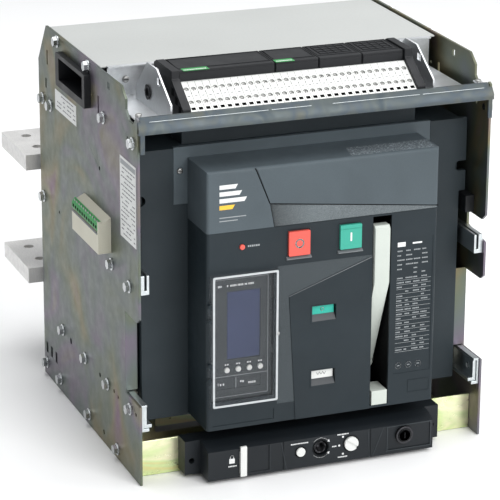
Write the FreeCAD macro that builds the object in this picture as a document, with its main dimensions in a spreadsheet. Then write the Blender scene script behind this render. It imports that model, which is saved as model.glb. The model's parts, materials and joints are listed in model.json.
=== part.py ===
"""Draw-out air circuit breaker: a withdrawable three-pole breaker in its fixed cradle.

Frame: X to the right, Y rearward (the front face looks along -Y), Z up, millimetres.
The origin is the centre of the four base mounting holes, on the underside of the base pan.
Inside this file a depth is measured from the front edge of the side plates; the helpers
take "setback" off it, so every object ends up in the frame above.
"""
import FreeCAD, Part
import os
import re
import Sketcher

Vector = FreeCAD.Vector
Rotation = FreeCAD.Rotation

DIMENSIONS = {
    # cradle side plates
    "setback": 190, "plate_outer": 217.5, "plate_thick": 3, "plate_depth": 379, "plate_height": 466,
    "rear_chamfer_depth": 34, "rear_chamfer_drop": 49, "front_step_top": 56, "front_step": 41,
    "step_height": 454.5, "throat_height": 442, "notch_low": 98, "notch_high": 199, "notch_depth": 50,
    "slit_low": 255, "slit_high": 273, "flange_width": 11.5, "hole_radius": 4.2,
    "bolt_head_radius": 6, "bolt_head_height": 5, "washer_radius": 7.5, "washer_height": 1.5,
    # base pan and its mounting holes
    "pan_front": 25, "pan_lip": 44, "base_pitch_x": 325, "base_pitch_y": 280, "base_hole": 5.5,
    # top rail, terminal shelf and hood
    "rail_low": 424, "rail_high": 442, "rail_proud": 6, "shelf_height": 426, "shelf_half": 204,
    "wall_depth": 146, "hood_height": 464, "hood_half": 212,
    # control terminals
    "strip_left": -151, "strip_right": 126, "strip_top": 478, "strip_rear": 104,
    # rear base, main terminals and shutter
    "base_front": 342, "pole_pitch": 125, "bar_thick": 20, "upper_bar": 276, "lower_bar": 125,
    "bar_reach": 511, "tab_width": 100, "tab_front": 400, "tab_outer": 230.5, "tab_hole": 6.5,
    "stab_front": 334, "shutter_front": 329,
    # guides and extension rails
    "guide_low": 233, "guide_high": 256, "guide_inner": 203.5,
    "slide_low": 70, "slide_high": 96, "slide_inner": 201.5, "slide_outer": 211.5, "slide_length": 325,
    "stop_low": 276, "stop_high": 297,
    # racking unit
    "rack_half": 143, "rack_front": -25, "rack_low": 4, "rack_face_high": 40, "rack_high": 46,
    "rack_wall": 4, "ear_half": 162, "screw_x": -2, "screw_z": 25.7, "screw_radius": 6,
    "knob_x": 36.5, "knob_radius": 8.6, "release_x": -27.7, "release_radius": 5.6,
    "tab_x": -100, "lock_x": 105, "lock_radius": 11,
    # breaker front cover
    "cover_half": 143, "cover_front": -20.4, "cover_rear": 43, "cover_low": 65, "cover_split": 305.3,
    "cover_high": 378, "wall": 3, "frame_rear": 49, "frame_half": 160, "frame_high": 391,
    # breaker case
    "case_half": 199.5, "case_low": 62, "case_high": 390, "case_rear": 326, "hump_half": 146,
    "hump_high": 412, "case_wall": 4, "mid_wall": 156, "wing_half": 208, "wing_low_half": 200,
    "wing_step": 300,
    # controls on the cover
    "slot_left": 61, "slot_right": 84.5, "slot_top": 303, "pivot_depth": 27, "pivot_height": 108,
    "window_left": -140.8, "window_right": -57.5, "window_low": 95, "window_high": 256,
    "unit_left": -137, "unit_right": -62, "unit_low": 100, "unit_high": 251, "unit_front": -16,
    "menu_height": 136.5, "menu_radius": 3.2, "hinge_proud": 3.3, "hinge_radius": 2.4,
    # mechanism and poles
    "shaft_depth": 130, "shaft_height": 175, "shaft_radius": 14, "cam_depth": 90, "cam_height": 230,
    "arm_depth": 205, "arm_height": 150, "pin_radius": 5, "arm_open_angle": 12, "running_gap": 0.06,
    "finger_rear": 354, "finger_front": 300, "finger_half": 40, "finger_thick": 9,
}

doc = FreeCAD.newDocument("draw_out_air_circuit_breaker")
sheet = doc.addObject("Spreadsheet::Sheet", "Dims")
for row, (alias, number) in enumerate(DIMENSIONS.items(), start=1):
    sheet.set(f"A{row}", alias)
    sheet.set(f"B{row}", str(number))
    sheet.setAlias(f"B{row}", alias)
doc.recompute()

subparts = {}


# ---------------------------------------------------------------- helpers

def formula(text):
    """A sum of sheet names and numbers as a FreeCAD expression."""
    return re.sub(r"\b([a-z][a-z_]*)\b", r"Dims.\1", str(text))


def measure(text):
    """The same sum as a number, for the first placing of sketch points."""
    total = 0.0
    for sign, term in re.findall(r"([+-]?)\s*([\w.*/ ]+)", str(text)):
        amount = 1.0
        for operator, factor in re.findall(r"([*/]?)\s*([\w.]+)", term):
            number = float(DIMENSIONS[factor]) if factor in DIMENSIONS else float(factor)
            amount = amount / number if operator == "/" else amount * number
        total += -amount if sign == "-" else amount
    return total


def bind(thing, path, text):
    thing.setExpression(path, formula(text))


def seat(thing, x, y, z):
    """Ties a placement to the sheet; y is a depth behind the side plates' front edge."""
    bind(thing, "Placement.Base.x", x)
    bind(thing, "Placement.Base.y", f"{y} - setback")
    bind(thing, "Placement.Base.z", z)
    return thing


def box(name, x, y, z):
    """A block between (low, high) sums along each axis."""
    block = doc.addObject("Part::Box", name)
    for side, (low, high) in zip(("Length", "Width", "Height"), (x, y, z)):
        bind(block, side, f"({high}) - ({low})")
    return seat(block, x[0], y[0], z[0])


TURN = {"X": Rotation(Vector(0, 1, 0), 90), "Y": Rotation(Vector(1, 0, 0), -90), "Z": Rotation()}


def rod(name, axis, start, radius, length):
    """A cylinder from the centre of its first end along an axis."""
    cylinder = doc.addObject("Part::Cylinder", name)
    bind(cylinder, "Radius", radius)
    bind(cylinder, "Height", length)
    cylinder.Placement = FreeCAD.Placement(Vector(), TURN[axis])
    return seat(cylinder, *start)


def origin_plane(body, role):
    return next(plane for plane in body.Origin.OriginFeatures if plane.Role == role)


def prism(name, plane, points, low, high):
    """A sketched outline on an origin plane, padded from low to high along its normal."""
    body = doc.addObject("PartDesign::Body", name)
    sketch = body.newObject("Sketcher::SketchObject", f"{name}_outline")
    sketch.AttachmentSupport = [(origin_plane(body, plane), "")]
    sketch.MapMode = "FlatFace"
    corners = [Vector(measure(across), measure(up), 0) for across, up in points]
    for index, corner in enumerate(corners):
        following = corners[(index + 1) % len(corners)]
        sketch.addGeometry(Part.LineSegment(corner, following), False)
    for index in range(len(corners)):
        sketch.addConstraint(Sketcher.Constraint("Coincident", index, 2, (index + 1) % len(corners), 1))
    for index, (across, up) in enumerate(points):
        for kind, text in (("DistanceX", across), ("DistanceY", up)):
            place = sketch.addConstraint(Sketcher.Constraint(kind, -1, 1, index, 1, measure(text)))
            sketch.setExpression(f"Constraints[{place}]", formula(text))
    pad = body.newObject("PartDesign::Pad", f"{name}_pad")
    pad.Profile = sketch
    bind(pad, "Length", f"({high}) - ({low})")
    pad.Reversed = plane == "XZ_Plane"
    bind(body, "Placement.Base.y", f"{low} - setback" if plane == "XZ_Plane" else "0 - setback")
    if plane == "YZ_Plane":
        bind(body, "Placement.Base.x", low)
    if plane == "XY_Plane":
        bind(body, "Placement.Base.z", low)
    return body


def fuse(name, parts):
    union = doc.addObject("Part::MultiFuse", name)
    union.Shapes = parts
    union.Refine = True
    return union


def cut(name, base, tools):
    """base less every tool."""
    tool = tools[0] if len(tools) == 1 else fuse(f"{name}_tools", tools)
    remainder = doc.addObject("Part::Cut", name)
    remainder.Base = base
    remainder.Tool = tool
    remainder.Refine = True
    return remainder


def group(name, parts):
    """Separate solids in one node."""
    together = doc.addObject("Part::Compound", name)
    together.Links = parts
    return together


def mirrored(name, source):
    """The same piece on the other side of the breaker's middle plane."""
    twin = doc.addObject("Part::Mirroring", name)
    twin.Source = source
    twin.Normal = Vector(1, 0, 0)
    return twin


def rounded(name, base, radius, chosen):
    """base with a fillet on every edge that chosen() accepts."""
    doc.recompute()
    fillet = doc.addObject("Part::Fillet", name)
    fillet.Base = base
    picks = [index for index, edge in enumerate(base.Shape.Edges, start=1) if chosen(edge)]
    fillet.Edges = [(index, radius, radius) for index in picks]
    return fillet


def runs_along(axis):
    """Accepts straight edges parallel to an axis."""
    def accepts(edge):
        if not isinstance(edge.Curve, Part.Line):
            return False
        return abs(abs(edge.Curve.Direction.dot(axis)) - 1) < 1e-6
    return accepts


def node(label, thing):
    thing.Label = label
    subparts[label] = thing
    return thing


def poles():
    """Name and centre of each pole, left to right."""
    return (("left", "0 - pole_pitch"), ("centre", "0"), ("right", "pole_pitch"))


# ---------------------------------------------------------------- cradle

# (depth, height) of the hexagon bolts that hold the cradle's inner parts to each side plate
BOLT_PLACES = [(296, 458), (176, 458), (120, 411), (362, 370), (329, 369), (15, 410), (365, 242), (96, 241),
               (32, 235), (295, 87.5), (204, 83.6), (367, 17.5), (308, 16.7), (117, 82.6), (34, 83.3),
               (191, 14.8), (82, 13.1)]
# (depth, height, half depth, half height) of the small rectangular slots in the side plates
SLOT_PLACES = [(366.5, 38, 4, 7), (347, 38.5, 4, 7), (327.5, 38, 4, 7), (139, 420, 2.5, 12), (341, 427, 2, 9),
               (100, 454, 4, 4), (348, 393, 2.5, 6)]
# (depth, height, radius) of the open round holes in the side plates
HOLE_PLACES = [(135, 13.5, 3), (147.6, 82.6, 3), (79, 80.7, 2), (263.5, 84, 4), (302, 240, 2), (138, 345, 2.5),
               (162, 427, 2), (94, 82.6, 2.5), (13.5, 84, 2.5), (34, 411, 2)]
GRIP = {"y": ("172", "273"), "z": ("414", "449")}


def plate_outline(slit):
    """Side profile of a cradle plate; slit adds the guide slit of the right-hand plate."""
    points = [("0", "0"), ("plate_depth", "0"), ("plate_depth", "plate_height - rear_chamfer_drop"),
              ("plate_depth - rear_chamfer_depth", "plate_height"), ("front_step_top", "plate_height"),
              ("front_step", "step_height"), ("front_step", "throat_height"), ("30", "432.5"),
              ("14", "432.5"), ("5", "443"), ("0", "441")]
    if slit:
        points += [("0", "slit_high + 8"), ("9", "slit_high"), ("48", "slit_high"), ("48", "slit_low"),
                   ("0", "slit_low - 8")]
    points += [("0", "notch_high + 6"), ("8", "notch_high"), ("notch_depth", "notch_high"),
               ("notch_depth", "notch_low"), ("0", "notch_low")]
    return points


def side_plate(label, side, slit):
    """side is 1 on the right and -1 on the left."""
    low, high = ("plate_outer - plate_thick", "plate_outer")
    if side < 0:
        low, high = ("0 - plate_outer", "plate_thick - plate_outer")
    sheet_metal = prism(f"{label}_sheet", "YZ_Plane", plate_outline(slit), low, high)
    inner = (f"{low} - flange_width", low) if side > 0 else (high, f"{high} + flange_width")
    flange = box(f"{label}_flange", inner, ("notch_depth", "notch_depth + plate_thick - 0.5"),
                 ("notch_low + 2", "notch_high"))
    through = (f"{low} - 1", f"{high} + 1")
    tools = [box(f"{label}_grip_hole", through, GRIP["y"], GRIP["z"])]
    for index, (depth, height) in enumerate(BOLT_PLACES):
        tools.append(rod(f"{label}_bolt_hole_{index}", "X", (f"{low} - 1", depth, height), "hole_radius", 5))
    for index, (depth, height, radius) in enumerate(HOLE_PLACES):
        tools.append(rod(f"{label}_hole_{index}", "X", (f"{low} - 1", depth, height), radius, 5))
    for index, (depth, height, half_depth, half_height) in enumerate(SLOT_PLACES):
        tools.append(box(f"{label}_slot_{index}", through, (f"{depth - half_depth}", f"{depth + half_depth}"),
                         (f"{height - half_height}", f"{height + half_height}")))
    return node(label, cut(label, fuse(f"{label}_folded", [sheet_metal, flange]), tools))


def plate_bolts():
    """Hexagon bolts with washers, shank just through the plate, copied to every place on both sides."""
    head = doc.addObject("Part::Prism", "bolt_head")
    head.Polygon = 6
    bind(head, "Circumradius", "bolt_head_radius")
    bind(head, "Height", "bolt_head_height")
    bind(head, "Placement.Base.z", "washer_height")
    washer = doc.addObject("Part::Cylinder", "bolt_washer")
    bind(washer, "Radius", "washer_radius")
    bind(washer, "Height", "washer_height")
    shank = doc.addObject("Part::Cylinder", "bolt_shank")
    bind(shank, "Radius", "hole_radius - 0.2")
    bind(shank, "Height", "plate_thick")
    bind(shank, "Placement.Base.z", "0 - plate_thick")
    bolt = fuse("bolt_pattern_piece", [head, washer, shank])
    doc.recompute()
    copies = []
    for side, turn in ((1, Rotation(Vector(0, 1, 0), 90)), (-1, Rotation(Vector(0, 1, 0), -90))):
        for depth, height in BOLT_PLACES:
            copy = bolt.Shape.copy()
            spot = Vector(side * measure("plate_outer"), depth - measure("setback"), height)
            copy.Placement = FreeCAD.Placement(spot, turn)
            copies.append(copy)
    bolts = doc.addObject("Part::Feature", "plate_bolts_copies")
    bolts.Shape = Part.makeCompound(copies)
    return node("plate_bolts", bolts)


def base_pan():
    """Folded pan that ties the side plates together at the bottom and carries the mounting holes."""
    inner = ("plate_thick - plate_outer", "plate_outer - plate_thick")
    floor = box("pan_floor", inner, ("pan_front", "plate_depth"), ("0", "3"))
    lip = box("pan_front_lip", inner, ("pan_front", "pan_front + 3"), ("0", "pan_lip"))
    tools = []
    for side_x in ("-", "+"):
        for side_y in ("-", "+"):
            start = (f"0 {side_x} base_pitch_x/2", f"setback {side_y} base_pitch_y/2", "0 - 1")
            tools.append(rod(f"pan_hole_{len(tools)}", "Z", start, "base_hole", 5))
    tools.append(rod("pan_screw_hole", "Y", ("screw_x", "pan_front - 1", "screw_z"),
                     "screw_radius + running_gap", 5))
    tools.append(box("pan_rear_window", ("0 - 60", "60"), ("150", "230"), ("0 - 1", "4")))
    node("base_pan", cut("base_pan", fuse("pan_folded", [floor, lip]), tools))


def top_rail():
    """Folded bar across the top of the front opening, with a plain lower lip and a sloping face."""
    outer = [("0", "rail_low"), ("0 - rail_proud", "rail_low"), ("0 - rail_proud", "rail_low + 7"),
             ("3", "rail_high"), ("7.4", "rail_high"), ("7.4", "rail_high - 2"), ("4", "rail_high - 2"),
             ("2 - rail_proud", "rail_low + 6"), ("2 - rail_proud", "rail_low + 2"), ("0", "rail_low + 2")]
    bar = prism("rail_section", "YZ_Plane", outer, "0 - plate_outer", "plate_outer")
    tabs = [box(f"rail_tab_{side}", span, ("0 - rail_proud", "3 - rail_proud"), ("rail_low - 22", "rail_low"))
            for side, span in (("left", ("2 - plate_outer", "7 - plate_outer")),
                               ("right", ("plate_outer - 7", "plate_outer - 2")))]
    notch = [box(f"rail_notch_{side}", span, ("0", "13"), ("rail_low - 1", "rail_high + 1"))
             for side, span in (("left", ("0 - plate_outer - 1", "3.4 - plate_outer")),
                                ("right", ("plate_outer - 3.4", "plate_outer + 1")))]
    node("top_front_rail", cut("top_front_rail", fuse("rail_with_tabs", [bar, *tabs]), notch))


def shelf_and_brackets():
    """Folded sheet under and behind the control terminals, with an upright bracket at each end."""
    half = ("0 - shelf_half", "shelf_half")
    floor = box("shelf_floor", half, ("13", "wall_depth + 2"), ("shelf_height", "shelf_height + 2"))
    wall = box("shelf_wall", half, ("wall_depth", "wall_depth + 2"), ("shelf_height", "hood_height - 2"))
    hem = box("shelf_hem", half, ("wall_depth - 5", "wall_depth + 2"), ("hood_height - 2", "hood_height"))
    tools = []
    for side in ("-", "+"):
        tools.append(rod(f"shelf_relief_{len(tools)}", "Y", (f"0 {side} 163", "wall_depth - 6", "429"), 4.5, 9))
        tools.append(rod(f"shelf_relief_{len(tools)}", "Y", (f"0 {side} 182", "wall_depth - 6", "447"), 2.6, 9))
    shelf = cut("shelf_sheet", fuse("shelf_folded", [floor, wall, hem]), tools)
    outline = [("12", "shelf_height + 2"), ("132", "shelf_height + 2"), ("132", "shelf_height + 16"),
               ("92", "480"), ("60", "480"), ("12", "450")]
    brackets = []
    for side, face, foot in (("left", ("0 - 174", "0 - 172"), ("0 - 172", "0 - 163")),
                             ("right", ("147", "149"), ("138", "147"))):
        upright = prism(f"bracket_{side}_sheet", "YZ_Plane", outline, *face)
        floor = box(f"bracket_{side}_foot", foot, ("20", "120"), ("shelf_height + 2", "shelf_height + 4"))
        window = box(f"bracket_{side}_window", (f"{face[0]} - 1", f"{face[1]} + 1"), ("47", "57"),
                     ("463", "471"))
        brackets.append(cut(f"bracket_{side}", fuse(f"bracket_{side}_folded", [upright, floor]), [window]))
    node("terminal_shelf", group("terminal_shelf", [shelf, *brackets]))


def hood():
    """Light-grey cover over the arc space, folded down at the back to follow the side plates."""
    outline = [("wall_depth + 2", "hood_height - 2"), ("344", "hood_height - 2"), ("377", "415"),
               ("378.7", "416.4"), ("345", "hood_height"), ("wall_depth + 2", "hood_height")]
    node("top_cover", prism("top_cover", "YZ_Plane", outline, "0 - hood_half", "hood_half"))


def control_terminals():
    """Black plug-in modules, the sloping white terminal strip in front of them, and their end caps."""
    floor = "shelf_height + 2"
    module_edges = [("strip_left", "0 - 34"), ("0 - 34", "20"), ("20", "74"), ("74", "strip_right")]
    modules = [box(f"module_{index}", (f"{left} + 0.4", f"{right} - 0.4"), ("50", "strip_rear"),
                   (floor, "strip_top")) for index, (left, right) in enumerate(module_edges)]
    node("control_modules", group("control_modules", modules))
    slope = [("8", floor), ("50", floor), ("50", "466"), ("47", "466"), ("8", "441")]
    node("control_terminal_strip",
         prism("control_terminal_strip", "YZ_Plane", slope, "strip_left", "strip_right"))
    cap = [("8", floor), ("strip_rear + 2", floor), ("strip_rear + 2", "476"), ("98", "480"), ("46", "480"),
           ("46", "470"), ("8", "445")]
    left = prism("cap_left", "YZ_Plane", cap, "strip_left - 10", "strip_left")
    right = prism("cap_right", "YZ_Plane", cap, "strip_right", "strip_right + 10")
    node("strip_end_caps", group("strip_end_caps", [left, right]))


def grip_inserts():
    """Moulded hand cups let into both side plates, for lifting the cradle."""
    rim = box("grip_rim", ("0 - 225.5", "0 - plate_outer"), ("167", "281"), ("409", "450.2"))
    cup = box("grip_cup", ("0 - plate_outer", "0 - 186"), ("172.3", "272.7"), ("414.3", "448.7"))
    shell = rounded("grip_rounded", fuse("grip_solid", [rim, cup]), 3,
                    lambda edge: runs_along(Vector(1, 0, 0))(edge) and edge.Length < 13)
    hollow = box("grip_hollow", ("0 - 226", "0 - 189"), ("176", "268"), ("418", "445"))
    left = cut("grip_left", shell, [hollow])
    node("lifting_grips", group("lifting_grips", [left, mirrored("grip_right", left)]))


def position_block():
    """Terminal block of the position switches, outside the left plate: pale body, green plug."""
    outline = [("0 - plate_outer", "254"), ("0 - 233.5", "254"), ("0 - 233.5", "277"), ("0 - 229", "281"),
               ("0 - 229", "291"), ("0 - plate_outer", "297")]
    body = prism("block_body", "XZ_Plane", outline, "97", "198")
    end = box("block_end", ("0 - 233.5", "0 - 229"), ("97", "100"), ("277", "293"))
    node("position_block", fuse("position_block", [body, end]))
    plug = [("0 - 229.2", "281.5"), ("0 - 233.3", "281.5"), ("0 - 233.3", "288"), ("0 - 229.2", "293.5")]
    node("position_plug", prism("position_plug", "XZ_Plane", plug, "100.3", "198"))


def rear_base():
    """Thick insulating moulding across the back, with an opening for each main terminal."""
    block = box("rear_base_block", ("0 - 214", "214"), ("base_front", "378"), ("60", "414"))
    tools = []
    for height in ("upper_bar", "lower_bar"):
        for name, centre in poles():
            tools.append(box(f"rear_mouth_{height}_{name}", (f"{centre} - 46", f"{centre} + 46"),
                             ("base_front - 1", "366"), (f"{height} - 23", f"{height} + 23")))
            tools.append(box(f"rear_slot_{height}_{name}", (f"{centre} - 45", f"{centre} + 45"),
                             ("365", "379"), (f"{height} - bar_thick/2", f"{height} + bar_thick/2")))
    node("rear_insulating_base", cut("rear_insulating_base", block, tools))


def main_terminals():
    """Copper terminals: a stab inside the base and an offset tab with four holes behind it."""
    outer = [("pole_pitch - 45", "stab_front"), ("pole_pitch + 45", "stab_front"),
             ("pole_pitch + 45", "tab_front"), ("tab_outer", "tab_front"), ("tab_outer", "bar_reach"),
             ("tab_outer - tab_width", "bar_reach"), ("tab_outer - tab_width", "tab_front + 50"),
             ("pole_pitch - 45", "tab_front")]
    middle = [("0 - 45", "stab_front"), ("45", "stab_front"), ("45", "tab_front"),
              ("tab_width/2", "tab_front + 5"), ("tab_width/2", "bar_reach"),
              ("0 - tab_width/2", "bar_reach"), ("0 - tab_width/2", "tab_front + 5"), ("0 - 45", "tab_front")]
    for level, height in (("upper", "upper_bar"), ("lower", "lower_bar")):
        low, high = (f"{height} - bar_thick/2", f"{height} + bar_thick/2")
        bars = []
        for name, outline, centre in (("right", outer, "tab_outer - tab_width/2"), ("centre", middle, "0")):
            label = f"{level}_terminal_{name}"
            tools = [rod(f"{label}_hole_{across}_{depth}", "Z", (f"{centre} {across}", depth, f"{low} - 1"),
                         "tab_hole", "bar_thick + 2")
                     for across in ("- 25", "+ 25") for depth in ("bar_reach - 78", "bar_reach - 28")]
            bars.append(cut(label, prism(f"{label}_bar", "XY_Plane", outline, low, high), tools))
        bars.append(mirrored(f"{level}_terminal_left", bars[0]))
        node(f"{level}_terminals", group(f"{level}_terminals", bars))


def shutter():
    """Insulating safety shutter: two strips that drop over the openings as the breaker racks out."""
    plate = box("shutter_plate", ("0 - 205", "205"), ("shutter_front", "shutter_front + 3"), ("180", "385"))
    window = box("shutter_window", ("0 - 186", "186"), ("shutter_front - 1", "shutter_front + 4"),
                 ("234", "331"))
    node("safety_shutter", cut("safety_shutter", plate, [window]))


def guides():
    """Fixed upper guides and the channels that hold the extension rails, on both side plates."""
    outer = ("guide_inner", "plate_outer - plate_thick")
    guide = box("guide_bar", outer, ("4", "316"), ("guide_low", "guide_high"))
    groove = box("guide_groove", ("guide_inner + 3", "guide_inner + 5.5"), ("3", "317"),
                 ("guide_low + 5", "guide_high + 1"))
    right = cut("guide_right", guide, [groove])
    section = [("plate_outer - plate_thick", "66"), ("205", "66"), ("205", "slide_low - 0.3"),
               ("slide_outer + 0.3", "slide_low - 0.3"), ("slide_outer + 0.3", "slide_high + 0.3"),
               ("207.5", "slide_high + 0.3"), ("207.5", "99"), ("plate_outer - plate_thick", "99")]
    channel = prism("channel_right", "XZ_Plane", section, "2", "340")
    node("guide_channels", group("guide_channels", [right, mirrored("guide_left", right),
                                                    channel, mirrored("channel_left", channel)]))


def stop_blocks():
    """Moulded blocks inside the side plates that the breaker's wings pass over."""
    right = box("stop_right", ("guide_inner - 0.5", "plate_outer - plate_thick"), ("30", "56"),
                ("stop_low", "stop_high"))
    node("stop_blocks", group("stop_blocks", [right, mirrored("stop_left", right)]))


def extension_rails():
    """Telescopic rails that pull out of the channels and carry the breaker's feet."""
    section = [("slide_inner", "slide_low"), ("slide_outer", "slide_low"), ("slide_outer", "slide_high"),
               ("slide_outer - 4", "slide_high"), ("slide_outer - 4", "slide_low + 4"),
               ("slide_inner", "slide_low + 4")]
    right = prism("slide_right", "XZ_Plane", section, "4", "4 + slide_length")
    hole = rod("slide_hole", "X", ("slide_outer - 5", "18", "85"), 4, 6)
    right = cut("extension_rail_right", right, [hole])
    node("left_extension_rail", mirrored("left_extension_rail", right))
    node("right_extension_rail", right)


# ---------------------------------------------------------------- racking unit

# degrees that the slot of the position knob leans to the left in the connected position
SLOT_TURN = -55


def racking_housing():
    """Moulded racking unit on the front of the pan: bevelled shell with fixing ears."""
    outline = [("rack_front", "rack_low"), ("pan_front", "rack_low"), ("pan_front", "rack_high"),
               ("0 - 8", "rack_high"), ("rack_front", "rack_face_high")]
    body = prism("rack_body", "YZ_Plane", outline, "0 - rack_half", "rack_half")
    ears = box("rack_ears", ("0 - ear_half", "ear_half"), ("2", "pan_front"), ("rack_low", "rack_high"))
    hollow = box("rack_hollow", ("rack_wall - rack_half", "rack_half - rack_wall"),
                 ("rack_front + rack_wall", "pan_front + 1"), ("rack_low + 3", "rack_face_high - 3"))
    start = "rack_front - 1"
    tools = [hollow,
             rod("rack_screw_hole", "Y", ("screw_x", start, "screw_z"), 9.2, 8),
             rod("rack_knob_hole", "Y", ("knob_x", start, "screw_z"), "knob_radius + 0.4", 8),
             rod("rack_release_hole", "Y", ("release_x", start, "screw_z - 1.5"), "release_radius + 0.4", 8),
             rod("rack_lock_hole", "Y", ("lock_x", start, "screw_z + 1"), "lock_radius", 8),
             box("rack_tab_slot", ("tab_x - 4.4", "tab_x + 4.4"), (start, "rack_front + 7"),
                 ("8.5", "36.9")),
             box("rack_left_recess", ("0 - 90", "0 - 67"), (start, "rack_front + 1"), ("8", "39")),
             box("rack_left_line", ("0 - 50", "0 - 49"), (start, "rack_front + 0.8"), ("3", "47")),
             box("rack_right_line", ("61", "62"), (start, "rack_front + 0.8"), ("3", "47")),
             box("rack_right_recess", ("84", "139"), (start, "rack_front + 0.8"), ("9", "38"))]
    for side in ("-", "+"):
        tools.append(rod(f"rack_ear_hole_{len(tools)}", "Y", (f"0 {side} 153.5", "1", "21"), 3.5, 30))
    node("racking_housing", cut("racking_housing", fuse("rack_outer", [body, ears]), tools))


def racking_drive():
    """Racking screw with a hexagon socket, and the carriage that it draws along the pan."""
    head = rod("screw_head", "Y", ("screw_x", "rack_front + 2", "screw_z"), 8.6, 14)
    shank = rod("screw_shank", "Y", ("screw_x", "rack_front + 16", "screw_z"), "screw_radius", 190)
    socket = doc.addObject("Part::Prism", "screw_socket")
    socket.Polygon = 6
    socket.Circumradius = 5.8
    socket.Height = 11
    socket.Placement = FreeCAD.Placement(Vector(), TURN["Y"])
    seat(socket, "screw_x", "rack_front + 1", "screw_z")
    node("racking_screw", cut("racking_screw", fuse("screw_solid", [head, shank]), [socket]))
    bar = box("carriage_bar", ("0 - 185", "185"), ("112", "128"), ("3.4", "58"))
    boss = rod("carriage_boss", "Y", ("screw_x", "100", "screw_z"), 13, 40)
    thread = rod("carriage_thread", "Y", ("screw_x", "90", "screw_z"), "screw_radius + running_gap", 60)
    windows = [box(f"carriage_window_{index}", (f"{left}", f"{left + 120}"), ("111", "129"), ("14", "46"))
               for index, left in enumerate((-160, 40))]
    solid = fuse("carriage_solid", [bar, boss])
    node("racking_carriage", cut("racking_carriage", solid, [thread, *windows]))


def racking_controls():
    """Position knob, release button, padlock tab and key lock on the racking unit."""
    knob = rod("knob_disc", "Y", ("knob_x", "rack_front - 3", "screw_z"), "knob_radius", 14)
    slot = box("knob_slot", ("0 - 1.2", "1.2"), ("0", "1.6"), ("0 - 10", "10"))
    slot.Placement.Rotation = Rotation(Vector(0, 1, 0), SLOT_TURN)
    corner = slot.Placement.Rotation.multVec(Vector(-1.2, 0, -10))
    seat(slot, f"knob_x + {corner.x:.3f}", "rack_front - 3.2", f"screw_z - {-corner.z:.3f}")
    node("position_knob", cut("position_knob", knob, [slot]))
    front = measure("rack_front - 2.3 - setback")
    button = rod("release_rod", "Y", ("release_x", "rack_front - 2.4", "screw_z - 1.5"), "release_radius", 13)
    node("release_button", rounded("release_button", button, 1,
                                   lambda edge: edge.Closed and edge.CenterOfMass.y < front))
    tab_side = ("tab_x - 3.9", "tab_x + 3.9")
    head = box("tab_head", tab_side, ("rack_front - 3.5", "rack_front - 0.3"), ("5.5", "43"))
    shank = box("tab_shank", tab_side, ("rack_front - 1", "rack_front + 38"), ("9", "36.4"))
    eye = rod("tab_eye", "X", ("tab_x - 5", "rack_front + 14", "23"), 4.5, 10)
    node("padlock_tab", cut("padlock_tab", fuse("tab_solid", [head, shank]), [eye]))
    ring = rod("lock_ring", "Y", ("lock_x", "rack_front - 3", "screw_z + 1"), "lock_radius", "rack_wall + 3")
    bore = rod("lock_bore", "Y", ("lock_x", "rack_front - 4", "screw_z + 1"),
               "lock_radius - 2.6 + running_gap", 26)
    node("key_lock_ring", cut("key_lock_ring", ring, [bore]))
    plug = rod("lock_plug", "Y", ("lock_x", "rack_front - 3.4", "screw_z + 1"), "lock_radius - 2.6", 23)
    keyway = box("lock_keyway", ("lock_x - 0.7", "lock_x + 0.7"), ("rack_front - 5", "rack_front + 8"),
                 ("screw_z - 2.5", "screw_z + 4.5"))
    node("key_lock_plug", cut("key_lock_plug", plug, [keyway]))


# ---------------------------------------------------------------- breaker case and covers

# heights of the two hinges of the trip window; half a knuckle's length; reach of the lugs from the middle
HINGE_HEIGHTS = (138.5, 210.6)
KNUCKLE_HALF = 7
HINGE_REACH = 11
# across and depth of the hinge's axis
HINGE_LINE = ("window_left", "cover_front - hinge_proud")


def hinge_lugs():
    """Lugs on the cover above and below each knuckle of the trip window."""
    lugs = []
    for index, height in enumerate(HINGE_HEIGHTS):
        for end, low in (("low", height - HINGE_REACH), ("high", height + KNUCKLE_HALF + 0.3)):
            length = HINGE_REACH - KNUCKLE_HALF - 0.3
            lugs.append(rod(f"lug_{index}_{end}", "Z", HINGE_LINE + (f"{low}",), "hinge_radius", length))
            lugs.append(box(f"lug_foot_{index}_{end}", ("window_left - 1.6", "window_left + 2.2"),
                            ("cover_front - hinge_proud", "cover_front + 1.5"), (f"{low}", f"{low + length}")))
    return lugs


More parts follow.
